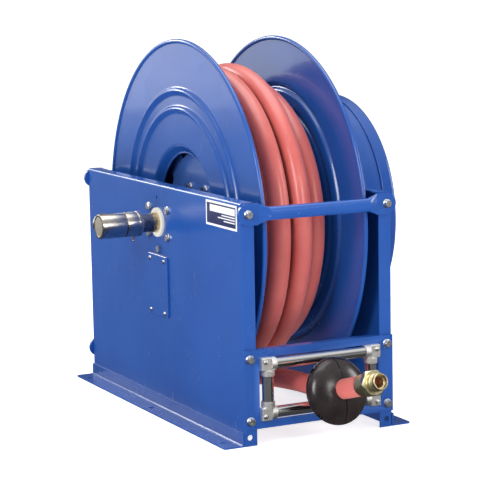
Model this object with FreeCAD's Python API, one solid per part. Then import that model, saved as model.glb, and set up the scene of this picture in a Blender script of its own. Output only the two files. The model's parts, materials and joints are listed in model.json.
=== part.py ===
import FreeCAD
import Part
import math
import os

# Spring rewind hose reel: two pan side panels on angle feet, a spool between them on one
# hollow axle, a water swivel on the left, a spring canister on the right, and a hose that
# leaves through four rollers. Millimetres. +X is right seen from the front, +Y the rear,
# +Z up. The origin is the centre of the four corner floor holes, under the feet.

# Frame
frame_width = 318.0          # across the outer faces of the side panels
disc_end_gap = 5.0           # from a spool disc to the front and the rear of the frame
disc_floor_gap = 18.0
axle_below_top = 75.0
panel_sheet = 3.0
bend_radius = 4.0            # outside radius of the panel's folded edges
post_flange = 27.0           # front and rear flanges, folded inwards
top_flange = 25.0
foot_leg = 25.0
foot_reach = 41.0            # from the panel's outer face
foot_sheet = 3.0
foot_corner = 5.0
floor_hole_d = 12.0
floor_hole_out = 24.0        # from the panel's outer face
floor_hole_end = 38.0        # from the end of the foot
post_hole_d = 11.0           # spare hole low in each flange
post_hole_up = 16.0
post_hole_in = 12.7          # every flange hole stands this far in from the panel's face
lift_hole_d = 7.0
lift_hole_drop = 26.0
lift_hole_y = 5.6

# Top and rear bars: tube with flattened ends
bar_tube_d = 25.4
bar_wall = 2.5
bar_end_height = 40.0
bar_end_thick = 6.0
bar_straight_in = 54.0       # end of the round tube, from the panel's outer face
bar_flat_in = 33.0           # start of the flat, from the panel's outer face
bar_blend = 0.4              # the flattened stretch is this much under the tube and the tab
bar_tube_out = 4.0           # the round tube stands this far out from the middle of its flats
bar_bolt_drop = 21.0         # bolt below the top of the frame
rear_low_bar_up = 60.0

# Flange bolts
bolt_d = 8.0
bolt_clear = 0.6
bolt_flats = 13.0
bolt_flange_d = 18.0
bolt_head = 8.0
nut_high = 7.0
bolt_past_nut = 3.0

# Domed screws
screw_d = 5.0
screw_head_d = 9.0
screw_head = 3.0
screw_past = 3.0             # beyond what it holds
rim_screw_head_d = 10.0
rim_screw_head = 4.0

# Guide plate and roller guide
guide_low = 31.5
guide_high = 180.0
guide_lip = 15.0
guide_bolt_low = 47.0
guide_bolt_high = 163.3
window_in = 32.0             # sides of the window, from the panels' outer faces
window_low = 47.0
window_high = 165.0
roller_d = 22.0
roller_pin_d = 8.0
running_gap = 0.05           # radial, wherever one piece turns on another
end_gap = 0.35               # along the axis, beside a piece that turns
roller_in = 49.0             # axes of the upright rollers, from the panels' outer faces
roller_half_z = 46.0         # axes of the level rollers, from the window's middle
roller_edge = 0.8
roller_pin_short = 1.5       # a pin ends this far inside its collars' far ends
block_wide = 21.0
block_high = 25.0
block_deep = 10.0
block_round = 2.0
block_seat = 0.5             # the window's corner tabs reach this far past the blocks' edges
block_in = 43.0              # middles of the blocks, from the panels' outer faces
block_half_z = 47.0
collar_d = 26.0
collar_long = 10.0
block_screw_d = 6.0
block_screw_out = 3.0        # from the block's middle, across and up
block_screw_up = 4.0

# Spool
disc_radius = 360.0
disc_sheet = 2.0
bead_d = 9.0
disc_left_in = 53.0          # from the left panel's outer face
disc_right_in = 49.0
rib_out = (29.0, 65.0)       # middles of the ribs, from the drum's surface
rib_half = 9.0
rib_high = 7.0
dish_outer = 152.0
dish_inner = 133.0
dish_deep = 13.0
drum_radius = 193.0
drum_wall = 2.0
hub_deep = 22.0              # hub plate, inboard of the dished edge
hub_radius = 134.0
hub_plate = 4.0
hub_arms = 4
hub_arm_wide = 60.0
hub_arm_root = 12.0          # how far an arm runs in over the round plate
hub_flange_radius = 86.0
hub_flange = 6.0
hub_bolt_circle = 71.0
hub_bolts_each = 6
riser_d = 32.0
riser_angle = 60.0
riser_hub_gap = 19.0         # from the right hub flange to the middle of the riser
riser_below_drum = 30.0
riser_elbow_d = 42.0
hose_hole_gap = 2.0          # round the hose where it passes through the drum

# Axle and bearings
axle_d = 39.0
axle_bore = 25.4
axle_past_left = 17.0        # beyond the left panel's outer face
axle_past_right = 80.0
bearing_d = 58.0
bearing_proud = 5.0
bearing_long = 15.0
bearing_plate = 5.0
bearing_plate_y = 108.0
bearing_plate_z = 74.0
bearing_plate_corner = 10.0
bearing_bolt_y = 44.0
bearing_bolt_z = 27.0
bearing_head = 5.5

# Swivel, from the axle's end outwards
stem_d = 36.0
stem_long = 24.0
spigot_d = 30.0
spigot_long = 45.0
water_way = 20.0
packing_d = 49.6
packing_long = 33.0
groove = 2.0
swivel_d = 48.6
swivel_long = 52.0
inlet_radius = 16.0
inlet_deep = 20.0
inlet_boss_d = 42.0
inlet_reach = 44.0
seal_wall = 3.0
seal_long = 5.0
seal_gap = 0.4
way_wall = 8.0               # solid metal between the spigot's end and the way to the inlet
swivel_edge = 1.5
packing_edge = 1.2
stem_flats = 33.0
stem_flats_from = 6.0        # flats for a spanner, from the axle's end
stem_flats_to = 18.0
stem_plug = 20.0             # how far the stem reaches into the axle's bore
grease_from_axle = 13.86
grease_hex_d = 7.0
grease_neck_d = 4.0
grease_ball_d = 5.2
grease_drop = 8.0

# Spring canister
canister_gap = 7.0
canister_radius = 235.0
canister_fillet = 25.0
canister_back_deep = 55.0
canister_cover_deep = 31.0
canister_wall = 2.0
canister_round = 9.0
canister_lip = 2.5           # the cover's rolled lip stands out this far
canister_lip_long = 3.0
canister_lap = 0.5           # the cover is this much larger than the back
canister_hole_gap = 6.0      # round the right bearing
rim_screw_in = 19.0
rim_screws = 12
arbor_d = 62.0
arbor_long = 52.0
arbor_in = 7.0               # clear of the bolt heads inside the canister
spring_band = 50.0
spring_thick = 2.0
spring_pitch = 9.0
spring_room = 13.0           # left free outside the wound band, less than one turn more
canister_bolts = 4
canister_bolt_in = 65.0
canister_bolt_step = 40.0    # degrees from one to the next
canister_bolt_head = 5.0
standoff_d = 16.0

# Ratchet and pawl
ratchet_d = 76.0
ratchet_notch_d = 12.0
ratchet_thick = 8.0
ratchet_teeth = 8
pawl_long = 16.0             # from the pivot's height to the wheel's rim
pawl_back = -3.0             # pivot along Y
pawl_radius = 9.0
pawl_tip_gap = 0.6
pawl_nose_half = 3.0
pawl_nose_round = 1.0
pawl_root_share = 0.8        # half width of the nose's root, as a share of the pawl's radius
pawl_root_up = 2.0
pawl_spacer_d = 13.0
pawl_keeper_d = 14.0
pawl_bolt_past = 12.0
pawl_keeper_short = 2.0
leaf_thick = 0.8
leaf_wide = 8.0
leaf_drop = 18.0             # from the leaf's flat to its bend on the panel
leaf_foot = 18.0
ratchet_in = 19.0            # outer face of the wheel, from the panel's outer face

# Access plate and label plate on the left panel
access_middle = 3.0          # along Y
access_wide = 96.0
access_high = 122.0
access_below_pawl = 12.0
access_thick = 4.0
access_corner = 6.0
access_edge = 0.8
access_margin = 17.0         # the window behind it is this much smaller on each side
access_screw_half_y = 33.0
access_screw_ends = (7.0, 10.0)   # in from the plate's bottom and top
label_wide = 129.0
label_high = 47.0
label_from_front = 14.0
label_drop = 6.0
label_thick = 0.6
label_corner = 2.5

# Hose
hose_d = 38.1
coil_drum_gap = 0.2
coil_side_gap = 4.0
coil_layers = (38.0, 76.0, 114.0)   # tops of the layers of turns, above the drum
coil_second_end = 0.87       # where the second layer stops, as a share of the way from left to right
coil_third_start = 0.22
coil_third_end = 0.63
coil_round = 9.0
hose_lay_gap = 0.75          # under the second layer, where the hose leaves the coil
hose_bend_back = (270.0, 157.0, 43.0)   # bends of the hose end, behind the frame's front
hose_bend_x = (-78.0, -62.0, -28.0)
hose_bend_share = (0.1, 0.55, 1.0)      # of the climb from the coil to the ball stop
hose_bend_rise = (1.85, 3.575, 4.5)     # above that climb
hose_start_x = -80.0
ball_x = 4.0
ball_out = 59.0              # from the frame's front
ball_below = 7.3             # below the window's middle
hose_stop_x = 10.1           # the far end of the hose
hose_stop_out = 146.8        # from the frame's front
hose_stop_above = 19.6       # above the window's middle
ball_d = 127.0
ball_long = 60.0
ball_seam = 1.2
ball_screw_d = 6.0
ball_screw_out = 41.0        # from the hose's middle
ball_screw_half = 44.0
ferrule_long = 24.0
ferrule_wall = 1.6
ferrule_lap = 2.0            # over the end of the hose
coupling_hex = 45.6
coupling_hex_long = 13.0
thread_d = 33.4
thread_long = 21.0
coupling_bore = 25.4

panel_x = frame_width / 2
half_depth = disc_radius + disc_end_gap
axle_height = disc_radius + disc_floor_gap
frame_height = axle_height + axle_below_top
front_y = -half_depth
axle_at = FreeCAD.Vector(0, 0, axle_height)
disc_left_x = -panel_x + disc_left_in
disc_right_x = panel_x - disc_right_in
hub_left_x = disc_left_x + dish_deep + hub_deep
hub_right_x = disc_right_x - dish_deep - hub_deep
axle_left_x = -panel_x - axle_past_left
axle_right_x = panel_x + axle_past_right
post_hole_x = panel_x - post_hole_in
plate_front_y = front_y - panel_sheet
roller_y = plate_front_y
window_half = panel_x - window_in
roller_half_x = panel_x - roller_in
block_half_x = panel_x - block_in
guide_mid_z = (window_low + window_high) / 2
bar_bolt_z = frame_height - bar_bolt_drop
ratchet_x = -panel_x + ratchet_in
stem_end_x = axle_left_x - stem_long
packing_end_x = stem_end_x - end_gap - packing_long
swivel_end_x = packing_end_x - groove - swivel_long
canister_x = panel_x + canister_gap
canister_seam_x = canister_x + canister_back_deep
canister_end_x = canister_seam_x + canister_cover_deep
inlet_x = packing_end_x - groove - swivel_long / 2
seal_d = spigot_d + 2 * seal_wall
canister_bolt_circle = canister_radius - canister_bolt_in
rim_screw_circle = canister_radius - rim_screw_in
rib_radii = [drum_radius + out for out in rib_out]
pawl_drop = ratchet_d / 2 + pawl_long
access_top = axle_height - pawl_drop - access_below_pawl
access_y = (access_middle - access_wide / 2, access_middle + access_wide / 2)
access_z = (access_top - access_high, access_top)
label_y = (front_y + label_from_front, front_y + label_from_front + label_wide)
label_z = (frame_height - label_drop - label_high, frame_height - label_drop)

X_AXIS = FreeCAD.Vector(1, 0, 0)
Y_AXIS = FreeCAD.Vector(0, 1, 0)
Z_AXIS = FreeCAD.Vector(0, 0, 1)

parts = {}


def point(x, y, z):
    return FreeCAD.Vector(x, y, z)


def block(x, y, z):
    """A box between the two values of each pair."""
    low = point(min(x), min(y), min(z))
    return Part.makeBox(abs(x[1] - x[0]), abs(y[1] - y[0]), abs(z[1] - z[0]), low)


def rod(d, start, end):
    """A cylinder of diameter d from one point to another."""
    way = end - start
    return Part.makeCylinder(d / 2, way.Length, start, way)


def tube(outer, inner, start, end):
    return rod(outer, start, end).cut(rod(inner, start, end))


def around(x, radius, angle):
    """A point at a radius and angle about the axle; angle 0 is up, 90 towards the front."""
    a = math.radians(angle)
    return point(x, -radius * math.sin(a), axle_height + radius * math.cos(a))


def at_axle(x):
    return point(x, 0, axle_height)


def axle_ring(outer, inner, x0, x1):
    return tube(outer, inner, at_axle(x0), at_axle(x1))


def outline(points):
    """A closed wire; each item is a point, or a pair of middle and end for an arc."""
    edges = []
    here = points[0]
    for item in points[1:]:
        if isinstance(item, tuple):
            edges.append(Part.Arc(here, item[0], item[1]).toShape())
            here = item[1]
        else:
            edges.append(Part.LineSegment(here, item).toShape())
            here = item
    if (here - points[0]).Length > 1e-6:
        edges.append(Part.LineSegment(here, points[0]).toShape())
    return Part.Wire(edges)


def turned(points):
    """A solid of revolution about the axle, from (x, radius) points given as vectors."""
    return Part.Face(outline(points)).revolve(axle_at, X_AXIS, 360)


def xr(x, r):
    return point(x, 0, axle_height + r)


def hexagon(flats, start, end, turn=0.0):
    """A hexagonal prism between two points."""
    way = end - start
    spin = FreeCAD.Rotation(Z_AXIS, way)
    corner = flats / 2 / math.cos(math.pi / 6)
    ring = []
    for k in range(7):
        a = math.radians(60 * k + turn)
        ring.append(start + spin.multVec(point(corner * math.cos(a), corner * math.sin(a), 0)))
    return Part.Face(Part.makePolygon(ring)).extrude(way)


def flange_bolt(seat, out, grip, head=bolt_head):
    """A flanged hexagon bolt and its nut; out points away from the head's seat."""
    flange_high = head * 0.3
    end = seat - out * (grip + nut_high + bolt_past_nut)
    collar = Part.makeCone(bolt_flange_d / 2, bolt_flats / 2, flange_high, seat, out)
    bolt = rod(bolt_d, end, seat).fuse(collar).fuse(hexagon(bolt_flats, seat, seat + out * head))
    inner = seat - out * grip
    nut = hexagon(bolt_flats, inner, inner - out * nut_high)
    foot = Part.makeCone(bolt_flange_d / 2, bolt_flats / 2, flange_high, inner, out * -1)
    nut = nut.fuse(foot).cut(rod(bolt_d, end, seat))
    return bolt.removeSplitter(), nut.removeSplitter()


def pan_screw(seat, out, d, long, head_d, head):
    """A domed screw; out points away from the surface that it holds."""
    squash = FreeCAD.Matrix()
    spin = FreeCAD.Placement(point(0, 0, 0), FreeCAD.Rotation(Z_AXIS, out)).toMatrix()
    squash.scale(1, 1, head / (head_d / 2))
    move = FreeCAD.Placement(seat, FreeCAD.Rotation()).toMatrix()
    dome = Part.makeSphere(head_d / 2, point(0, 0, 0), Z_AXIS, 0, 90, 360)
    dome = dome.transformGeometry(move.multiply(spin).multiply(squash))
    return dome.fuse(rod(d, seat - out * long, seat))


def group(shapes):
    return Part.makeCompound(shapes)


# Frame ------------------------------------------------------------------------------

def flange_holes():
    """Each hole in a front or rear flange: its height, diameter and which end it is in."""
    bolt_hole = bolt_d + bolt_clear
    return (
        (post_hole_up, post_hole_d, -1),
        (post_hole_up, post_hole_d, 1),
        (guide_bolt_low, bolt_hole, -1),
        (guide_bolt_high, bolt_hole, -1),
        (bar_bolt_z, bolt_hole, -1),
        (bar_bolt_z, bolt_hole, 1),
        (rear_low_bar_up, bolt_hole, 1),
    )


def bearing_bolt_places(side):
    for y in (-bearing_bolt_y, bearing_bolt_y):
        for z in (-bearing_bolt_z, bearing_bolt_z):
            yield point(side * panel_x, y, axle_height + z)


def canister_bolt_places():
    for k in range(canister_bolts):
        off = (k - (canister_bolts - 1) / 2) * canister_bolt_step
        yield around(panel_x, canister_bolt_circle, 180 + off)


def access_screw_places():
    low, high = access_screw_ends
    for y in (access_middle - access_screw_half_y, access_middle + access_screw_half_y):
        for z in (access_z[0] + low, access_z[1] - high):
            yield point(-panel_x, y, z)


def side_panel(side):
    """A pan with its front, rear and top edges folded inwards."""
    outer = side * panel_x
    inner = side * (panel_x - post_flange)
    pan = block((inner, outer), (-half_depth, half_depth), (0, frame_height))
    folds = []
    for edge in pan.Edges:
        mid = edge.CenterOfMass
        if abs(mid.x - outer) > 0.1:
            continue
        if abs(mid.y) > half_depth - 0.1 or mid.z > frame_height - 0.1:
            folds.append(edge)
    pan = pan.makeFillet(bend_radius, folds)
    web = side * (panel_x - panel_sheet)
    past = side * (panel_x - post_flange - 1)
    inside = (-half_depth + panel_sheet, half_depth - panel_sheet)
    pan = pan.cut(block((web, past), inside, (-1, frame_height - panel_sheet)))
    top_edge = side * (panel_x - top_flange)
    ends = (-half_depth + post_flange, half_depth - post_flange)
    pan = pan.cut(block((top_edge, past), ends, (frame_height - panel_sheet - 1, frame_height + 1)))
    for z, d, end in flange_holes():
        x = side * post_hole_x
        y = end * half_depth
        pan = pan.cut(rod(d, point(x, y - 10, z), point(x, y + 10, z)))
    through = point(side * 12, 0, 0)
    pan = pan.cut(rod(bearing_d, at_axle(outer) - through, at_axle(outer) + through))
    for place in bearing_bolt_places(side):
        pan = pan.cut(rod(bolt_d + bolt_clear, place - through, place + through))
    if side < 0:
        for place in access_screw_places():
            pan = pan.cut(rod(screw_d, place - through, place + through))
        window_y = (access_y[0] + access_margin, access_y[1] - access_margin)
        window_z = (access_z[0] + access_margin, access_z[1] - access_margin)
        pan = pan.cut(block((outer - 5, outer + 5), window_y, window_z))
        pivot = point(outer, pawl_back, axle_height - pawl_drop)
        pan = pan.cut(rod(bolt_d + bolt_clear, pivot - through, pivot + through))
        lift = point(outer, lift_hole_y, frame_height - lift_hole_drop)
        pan = pan.cut(rod(lift_hole_d, lift - through, lift + through))
    else:
        for place in canister_bolt_places():
            pan = pan.cut(rod(bolt_d + bolt_clear, place - through, place + through))
    return pan.removeSplitter()


def foot(side):
    """An angle along the bottom of a panel, bolted to the floor through its flange."""
    inner = side * panel_x
    leg = side * (panel_x + foot_sheet)
    outer = side * (panel_x + foot_reach)
    depth = (-half_depth, half_depth)
    angle = block((inner, leg), depth, (0, foot_leg))
    flange = block((inner, outer), depth, (0, foot_sheet))
    corners = []
    for edge in flange.Edges:
        mid = edge.CenterOfMass
        if abs(mid.x - outer) < 0.1 and abs(abs(mid.y) - half_depth) < 0.1:
            corners.append(edge)
    angle = angle.fuse(flange.makeFillet(foot_corner, corners)).removeSplitter()
    bend = []
    for edge in angle.Edges:
        mid = edge.CenterOfMass
        if abs(mid.x - leg) < 0.1 and abs(mid.z - foot_sheet) < 0.1:
            bend.append(edge)
    angle = angle.makeFillet(foot_sheet, bend)
    x = side * (panel_x + floor_hole_out)
    for y in (-half_depth + floor_hole_end, 0, half_depth - floor_hole_end):
        angle = angle.cut(rod(floor_hole_d, point(x, y, -1), point(x, y, foot_sheet + 1)))
    return angle


def tube_section(x, y, z, high, thick):
    """Four arcs round a tube that is high by thick; a circle when the two are equal."""
    round_share = min(1.0, thick / high)
    corner_z = high / 2 * (1 - 0.29289 * round_share)
    corner_y = thick / 2 * (math.sqrt(0.5) if round_share == 1.0 else 0.86)
    corners = []
    for sy, sz in ((-1, -1), (-1, 1), (1, 1), (1, -1)):
        corners.append(point(x, y + sy * corner_y, z + sz * corner_z))
    middles = (
        point(x, y - thick / 2, z),
        point(x, y, z + high / 2),
        point(x, y + thick / 2, z),
        point(x, y, z - high / 2),
    )
    edges = []
    for k in range(4):
        edges.append(Part.Arc(corners[k], middles[k], corners[(k + 1) % 4]).toShape())
    return Part.Wire(edges)


def cross_bar(end, z):
    """A round tube whose flattened ends are bolted on the outer faces of two flanges."""
    y = end * (half_depth + bar_end_thick / 2)
    tube_y = y + end * bar_tube_out
    straight = panel_x - bar_straight_in
    flat = panel_x - bar_flat_in
    bar = rod(bar_tube_d, point(-straight, tube_y, z), point(straight, tube_y, z))
    for side in (-1, 1):
        round_d = bar_tube_d - bar_blend
        round_end = tube_section(side * (straight - 1), tube_y, z, round_d, round_d)
        flat_end = tube_section(side * flat, y, z, bar_end_height - 2 * bar_blend, bar_end_thick - bar_blend)
        bar = bar.fuse(Part.makeLoft([round_end, flat_end], True))
        face = (y - bar_end_thick / 2, y + bar_end_thick / 2)
        high = (z - bar_end_height / 2, z + bar_end_height / 2)
        x = side * post_hole_x
        tab = block((side * (flat - 1), x), face, high)
        tab = tab.fuse(rod(bar_end_height, point(x, face[0], z), point(x, face[1], z)))
        hole = rod(bolt_d + bolt_clear, point(x, face[0] - 1, z), point(x, face[1] + 1, z))
        bar = bar.fuse(tab).cut(hole)
    bore_d = bar_tube_d - 2 * bar_wall
    return bar.cut(rod(bore_d, point(-straight, tube_y, z), point(straight, tube_y, z)))


def guide_plate():
    """The front plate: a cross-shaped window whose corner tabs carry the roller blocks."""
    lip_y = (front_y, front_y + guide_lip)
    lip_x = panel_x - post_flange - 2
    plate = block((-panel_x, panel_x), (plate_front_y, front_y), (guide_low, guide_high))
    plate = plate.fuse(block((-lip_x, lip_x), (plate_front_y, lip_y[1]),
                             (guide_high - panel_sheet, guide_high)))
    through = (plate_front_y - 1, front_y + 1)
    tab_x = block_half_x - block_wide / 2 + block_seat
    tab_z = block_half_z - block_high / 2 + block_seat
    middle = (guide_mid_z - tab_z, guide_mid_z + tab_z)
    plate = plate.cut(block((-window_half, window_half), through, middle))
    plate = plate.cut(block((-tab_x, tab_x), through, (window_low, window_high)))
    for side in (-1, 1):
        for z in (guide_bolt_low, guide_bolt_high):
            x = side * post_hole_x
            hole = rod(bolt_d + bolt_clear, point(x, through[0], z), point(x, through[1], z))
            plate = plate.cut(hole)
        for up in (-1, 1):
            place = block_screw_place(side, up)
            hole = rod(block_screw_d, place - Y_AXIS, place + Y_AXIS * (block_deep + 10))
            plate = plate.cut(hole)
    return plate.removeSplitter()


def block_screw_place(side, up):
    """Where a roller block's screw meets the block's front face."""
    x = side * (block_half_x + block_screw_out)
    return point(x, plate_front_y - block_deep, guide_mid_z + up * (block_half_z + block_screw_up))


def roller_block(side, up):
    """A cast corner block with one collar for a level roller and one for an upright one."""
    x = side * block_half_x
    z = guide_mid_z + up * block_half_z
    body = block((x - block_wide / 2, x + block_wide / 2), (plate_front_y - block_deep, plate_front_y),
                 (z - block_high / 2, z + block_high / 2))
    body = body.makeFillet(block_round, [e for e in body.Edges if e.CenterOfMass.y < plate_front_y - 1])
    level_z = guide_mid_z + up * roller_half_z
    upright_x = side * roller_half_x
    near_x = side * (block_half_x - block_wide / 2)
    near_z = guide_mid_z + up * (block_half_z - block_high / 2)
    level = rod(collar_d, point(near_x, roller_y, level_z),
                point(near_x - side * collar_long, roller_y, level_z))
    upright = rod(collar_d, point(upright_x, roller_y, near_z),
                  point(upright_x, roller_y, near_z - up * collar_long))
    body = body.fuse(level).fuse(upright)
    for pin in roller_pins():
        body = body.cut(pin)
    place = block_screw_place(side, up)
    return body.cut(rod(block_screw_d, place - Y_AXIS, place + Y_AXIS * (block_deep + 1)))


def roller_spans():
    """For each roller: its name and its axis from one end face to the other."""
    half_x = block_half_x - block_wide / 2 - collar_long - end_gap
    half_z = block_half_z - block_high / 2 - collar_long - end_gap
    for name, up in (("lower_roller", -1), ("upper_roller", 1)):
        z = guide_mid_z + up * roller_half_z
        yield name, point(-half_x, roller_y, z), point(half_x, roller_y, z)
    for name, side in (("left_roller", -1), ("right_roller", 1)):
        x = side * roller_half_x
        yield name, point(x, roller_y, guide_mid_z - half_z), point(x, roller_y, guide_mid_z + half_z)


def roller_pins():
    """A pin through each roller and into its two collars."""
    reach = collar_long + end_gap - roller_pin_short
    pins = []
    for _, start, end in roller_spans():
        way = (end - start).normalize() * reach
        pins.append(rod(roller_pin_d, start - way, end + way))
    return pins


def roller(start, end):
    """A roller sleeve with softened ends, turning on its pin."""
    sleeve = rod(roller_d, start, end)
    sleeve = sleeve.makeChamfer(roller_edge, [e for e in sleeve.Edges if e.Closed])
    return sleeve.cut(rod(roller_pin_d + 2 * running_gap, start, end))


def make_frame():
    for name, side in (("left", -1), ("right", 1)):
        parts[name + "_side_panel"] = side_panel(side)
        parts[name + "_foot"] = foot(side)
    parts["front_top_bar"] = cross_bar(-1, bar_bolt_z)
    parts["rear_top_bar"] = cross_bar(1, bar_bolt_z)
    parts["rear_bottom_bar"] = cross_bar(1, rear_low_bar_up)
    parts["guide_plate"] = guide_plate()
    parts["roller_pins"] = group(roller_pins())
    screws = []
    for up_name, up in (("lower", -1), ("upper", 1)):
        for side_name, side in (("left", -1), ("right", 1)):
            parts["roller_block_%s_%s" % (up_name, side_name)] = roller_block(side, up)
            place = block_screw_place(side, up)
            long = block_deep + panel_sheet + screw_past
            screws.append(pan_screw(place, Y_AXIS * -1, block_screw_d, long, screw_head_d, screw_head))
    parts["roller_block_screws"] = group(screws)
    for name, start, end in roller_spans():
        parts[name] = roller(start, end)


def make_fasteners():
    bolts = []
    nuts = []
    seats = [
        (-1, bar_bolt_z, bar_end_thick),
        (1, bar_bolt_z, bar_end_thick),
        (1, rear_low_bar_up, bar_end_thick),
        (-1, guide_bolt_low, panel_sheet),
        (-1, guide_bolt_high, panel_sheet),
    ]
    for end, z, thick in seats:
        for side in (-1, 1):
            seat = point(side * post_hole_x, end * (half_depth + thick), z)
            bolt, nut = flange_bolt(seat, Y_AXIS * end, thick + panel_sheet)
            bolts.append(bolt)
            nuts.append(nut)
    parts["frame_bolts"] = group(bolts)
    bearing = []
    for side in (-1, 1):
        for place in bearing_bolt_places(side):
            bolt, nut = flange_bolt(place, X_AXIS * side, panel_sheet + bearing_plate, bearing_head)
            bearing.append(bolt)
            nuts.append(nut)
    parts["bearing_bolts"] = group(bearing)
    parts["nuts"] = group(nuts)


# Bearings, access plate, label --------------------------------------------------------

def make_bearings():
    for name, side in (("left", -1), ("right", 1)):
        out = side * (panel_x + bearing_proud)
        back = out - side * bearing_long
        inner = side * (panel_x - panel_sheet)
        parts[name + "_bearing"] = axle_ring(bearing_d, axle_d + 2 * running_gap, out, back)
        plate = block((inner, inner - side * bearing_plate),
                      (-bearing_plate_y / 2, bearing_plate_y / 2),
                      (axle_height - bearing_plate_z / 2, axle_height + bearing_plate_z / 2))
        corners = [e for e in plate.Edges if abs(e.tangentAt(e.FirstParameter).x) > 0.9]
        plate = plate.makeFillet(bearing_plate_corner, corners)
        plate = plate.cut(rod(bearing_d, at_axle(out), at_axle(back)))
        for place in bearing_bolt_places(side):
            through = point(side * 20, 0, 0)
            plate = plate.cut(rod(bolt_d + bolt_clear, place - through, place + through))
        parts[name + "_bearing_plate"] = plate


def make_access_plate():
    face = -panel_x
    plate = block((face, face - access_thick), access_y, access_z)
    corners = [e for e in plate.Edges if abs(e.tangentAt(e.FirstParameter).x) > 0.9]
    plate = plate.makeFillet(access_corner, corners)
    front_edges = [e for e in plate.Edges if abs(e.CenterOfMass.x - face + access_thick) < 0.01]
    plate = plate.makeChamfer(access_edge, front_edges)
    screws = []
    for place in access_screw_places():
        seat = place - X_AXIS * access_thick
        plate = plate.cut(rod(screw_d, seat - X_AXIS, place + X_AXIS))
        long = access_thick + panel_sheet + screw_past
        screws.append(pan_screw(seat, X_AXIS * -1, screw_d, long, screw_head_d, screw_head))
    parts["access_plate"] = plate
    parts["access_plate_screws"] = group(screws)
    label = block((face, face - label_thick), label_y, label_z)
    corners = [e for e in label.Edges if abs(e.tangentAt(e.FirstParameter).x) > 0.9]
    parts["label_plate"] = label.makeFillet(label_corner, corners)


# Ratchet and pawl ---------------------------------------------------------------------

def make_ratchet():
    """A toothed wheel on the axle and a centred pawl that stands just clear of its teeth."""
    wheel = axle_ring(ratchet_d, axle_d, ratchet_x, ratchet_x + ratchet_thick)
    for k in range(ratchet_teeth):
        a = 360.0 / ratchet_teeth * (k + 0.5)
        notch = rod(ratchet_notch_d, around(ratchet_x - 1, ratchet_d / 2, a),
                    around(ratchet_x + ratchet_thick + 1, ratchet_d / 2, a))
        wheel = wheel.cut(notch)
    parts["ratchet_wheel"] = wheel
    z = axle_height - pawl_drop
    distance = math.hypot(pawl_drop, pawl_back)
    tip = distance - ratchet_d / 2 - pawl_tip_gap
    x = (ratchet_x, ratchet_x + ratchet_thick)
    pivot = point(x[0], pawl_back, z)
    body = rod(2 * pawl_radius, pivot, point(x[1], pawl_back, z))
    root = pawl_radius * pawl_root_share
    shoulder = z + tip - pawl_nose_round
    tip_end = point(x[0], pawl_back + pawl_nose_half, shoulder)
    nose = outline([
        point(x[0], pawl_back - root, z + pawl_root_up),
        point(x[0], pawl_back - pawl_nose_half, shoulder),
        (point(x[0], pawl_back, z + tip), tip_end),
        point(x[0], pawl_back + root, z + pawl_root_up),
    ])
    pawl = body.fuse(Part.Face(nose).extrude(X_AXIS * ratchet_thick))
    turn = math.degrees(math.atan2(-pawl_back, pawl_drop))
    pawl.rotate(pivot, X_AXIS, -turn)
    reach = X_AXIS * panel_x
    parts["pawl"] = pawl.cut(rod(bolt_d + 2 * running_gap, pivot - reach, pivot + reach))
    seat = point(-panel_x, pawl_back, z)
    end = point(x[1] + pawl_bolt_past, pawl_back, z)
    bolt = rod(bolt_d, seat, end).fuse(hexagon(bolt_flats, seat, seat - X_AXIS * bearing_head))
    wall = seat + X_AXIS * panel_sheet
    spacer = tube(pawl_spacer_d, bolt_d, wall, point(x[0] - end_gap, pawl_back, z))
    keeper_end = end - X_AXIS * pawl_keeper_short
    keeper = tube(pawl_keeper_d, bolt_d, point(x[1] + end_gap, pawl_back, z), keeper_end)
    parts["pawl_pivot_bolt"] = bolt.fuse(spacer).fuse(keeper).removeSplitter()
    make_pawl_spring(x, z)


def make_pawl_spring(x, z):
    """A leaf on the panel that presses up under the pawl's round heel."""
    wall = -panel_x + panel_sheet
    top = z - pawl_radius - end_gap
    bend = top - leaf_drop
    low = bend - leaf_foot
    y = pawl_back - leaf_wide / 2
    slope_x = leaf_thick * 0.4
    slope_z = leaf_thick * 0.75
    profile = [
        point(wall, y, low),
        point(wall, y, bend),
        point(x[0], y, top),
        point(x[1], y, top),
        point(x[1], y, top - leaf_thick),
        point(x[0] + slope_x, y, top - leaf_thick),
        point(wall + leaf_thick, y, bend - slope_z),
        point(wall + leaf_thick, y, low),
    ]
    parts["pawl_spring"] = Part.Face(outline(profile)).extrude(Y_AXIS * leaf_wide)


# Spool ----------------------------------------------------------------------------------

def disc(x, out):
    """One side disc: dished hub edge, two raised ribs and a rolled bead; out is its outer way."""
    back = -out * disc_sheet
    dish = x - out * dish_deep
    steps = [xr(dish, dish_inner)]
    steps.append((xr(x - out * dish_deep * 0.3, (dish_inner + dish_outer) / 2), xr(x, dish_outer)))
    for r in rib_radii:
        steps.append(xr(x, r - rib_half))
        steps.append((xr(x + out * rib_high, r), xr(x, r + rib_half)))
    steps.append(xr(x, disc_radius - bead_d / 2))
    behind = []
    here = steps[0]
    for item in steps[1:]:
        middle = item[0] if isinstance(item, tuple) else None
        behind.append((here, middle))
        here = item[1] if isinstance(item, tuple) else item
    shift = point(back, 0, 0)
    steps.append(here + shift)
    for end, middle in reversed(behind):
        steps.append((middle + shift, end + shift) if middle else end + shift)
    sheet = turned(steps)
    bead = Part.makeTorus(disc_radius - bead_d / 2, bead_d / 2, at_axle(x + back / 2), X_AXIS)
    return sheet.fuse(bead)


def hub_bolt_angles():
    for k in range(hub_bolts_each):
        yield 360.0 / hub_bolts_each * k - 30


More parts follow.
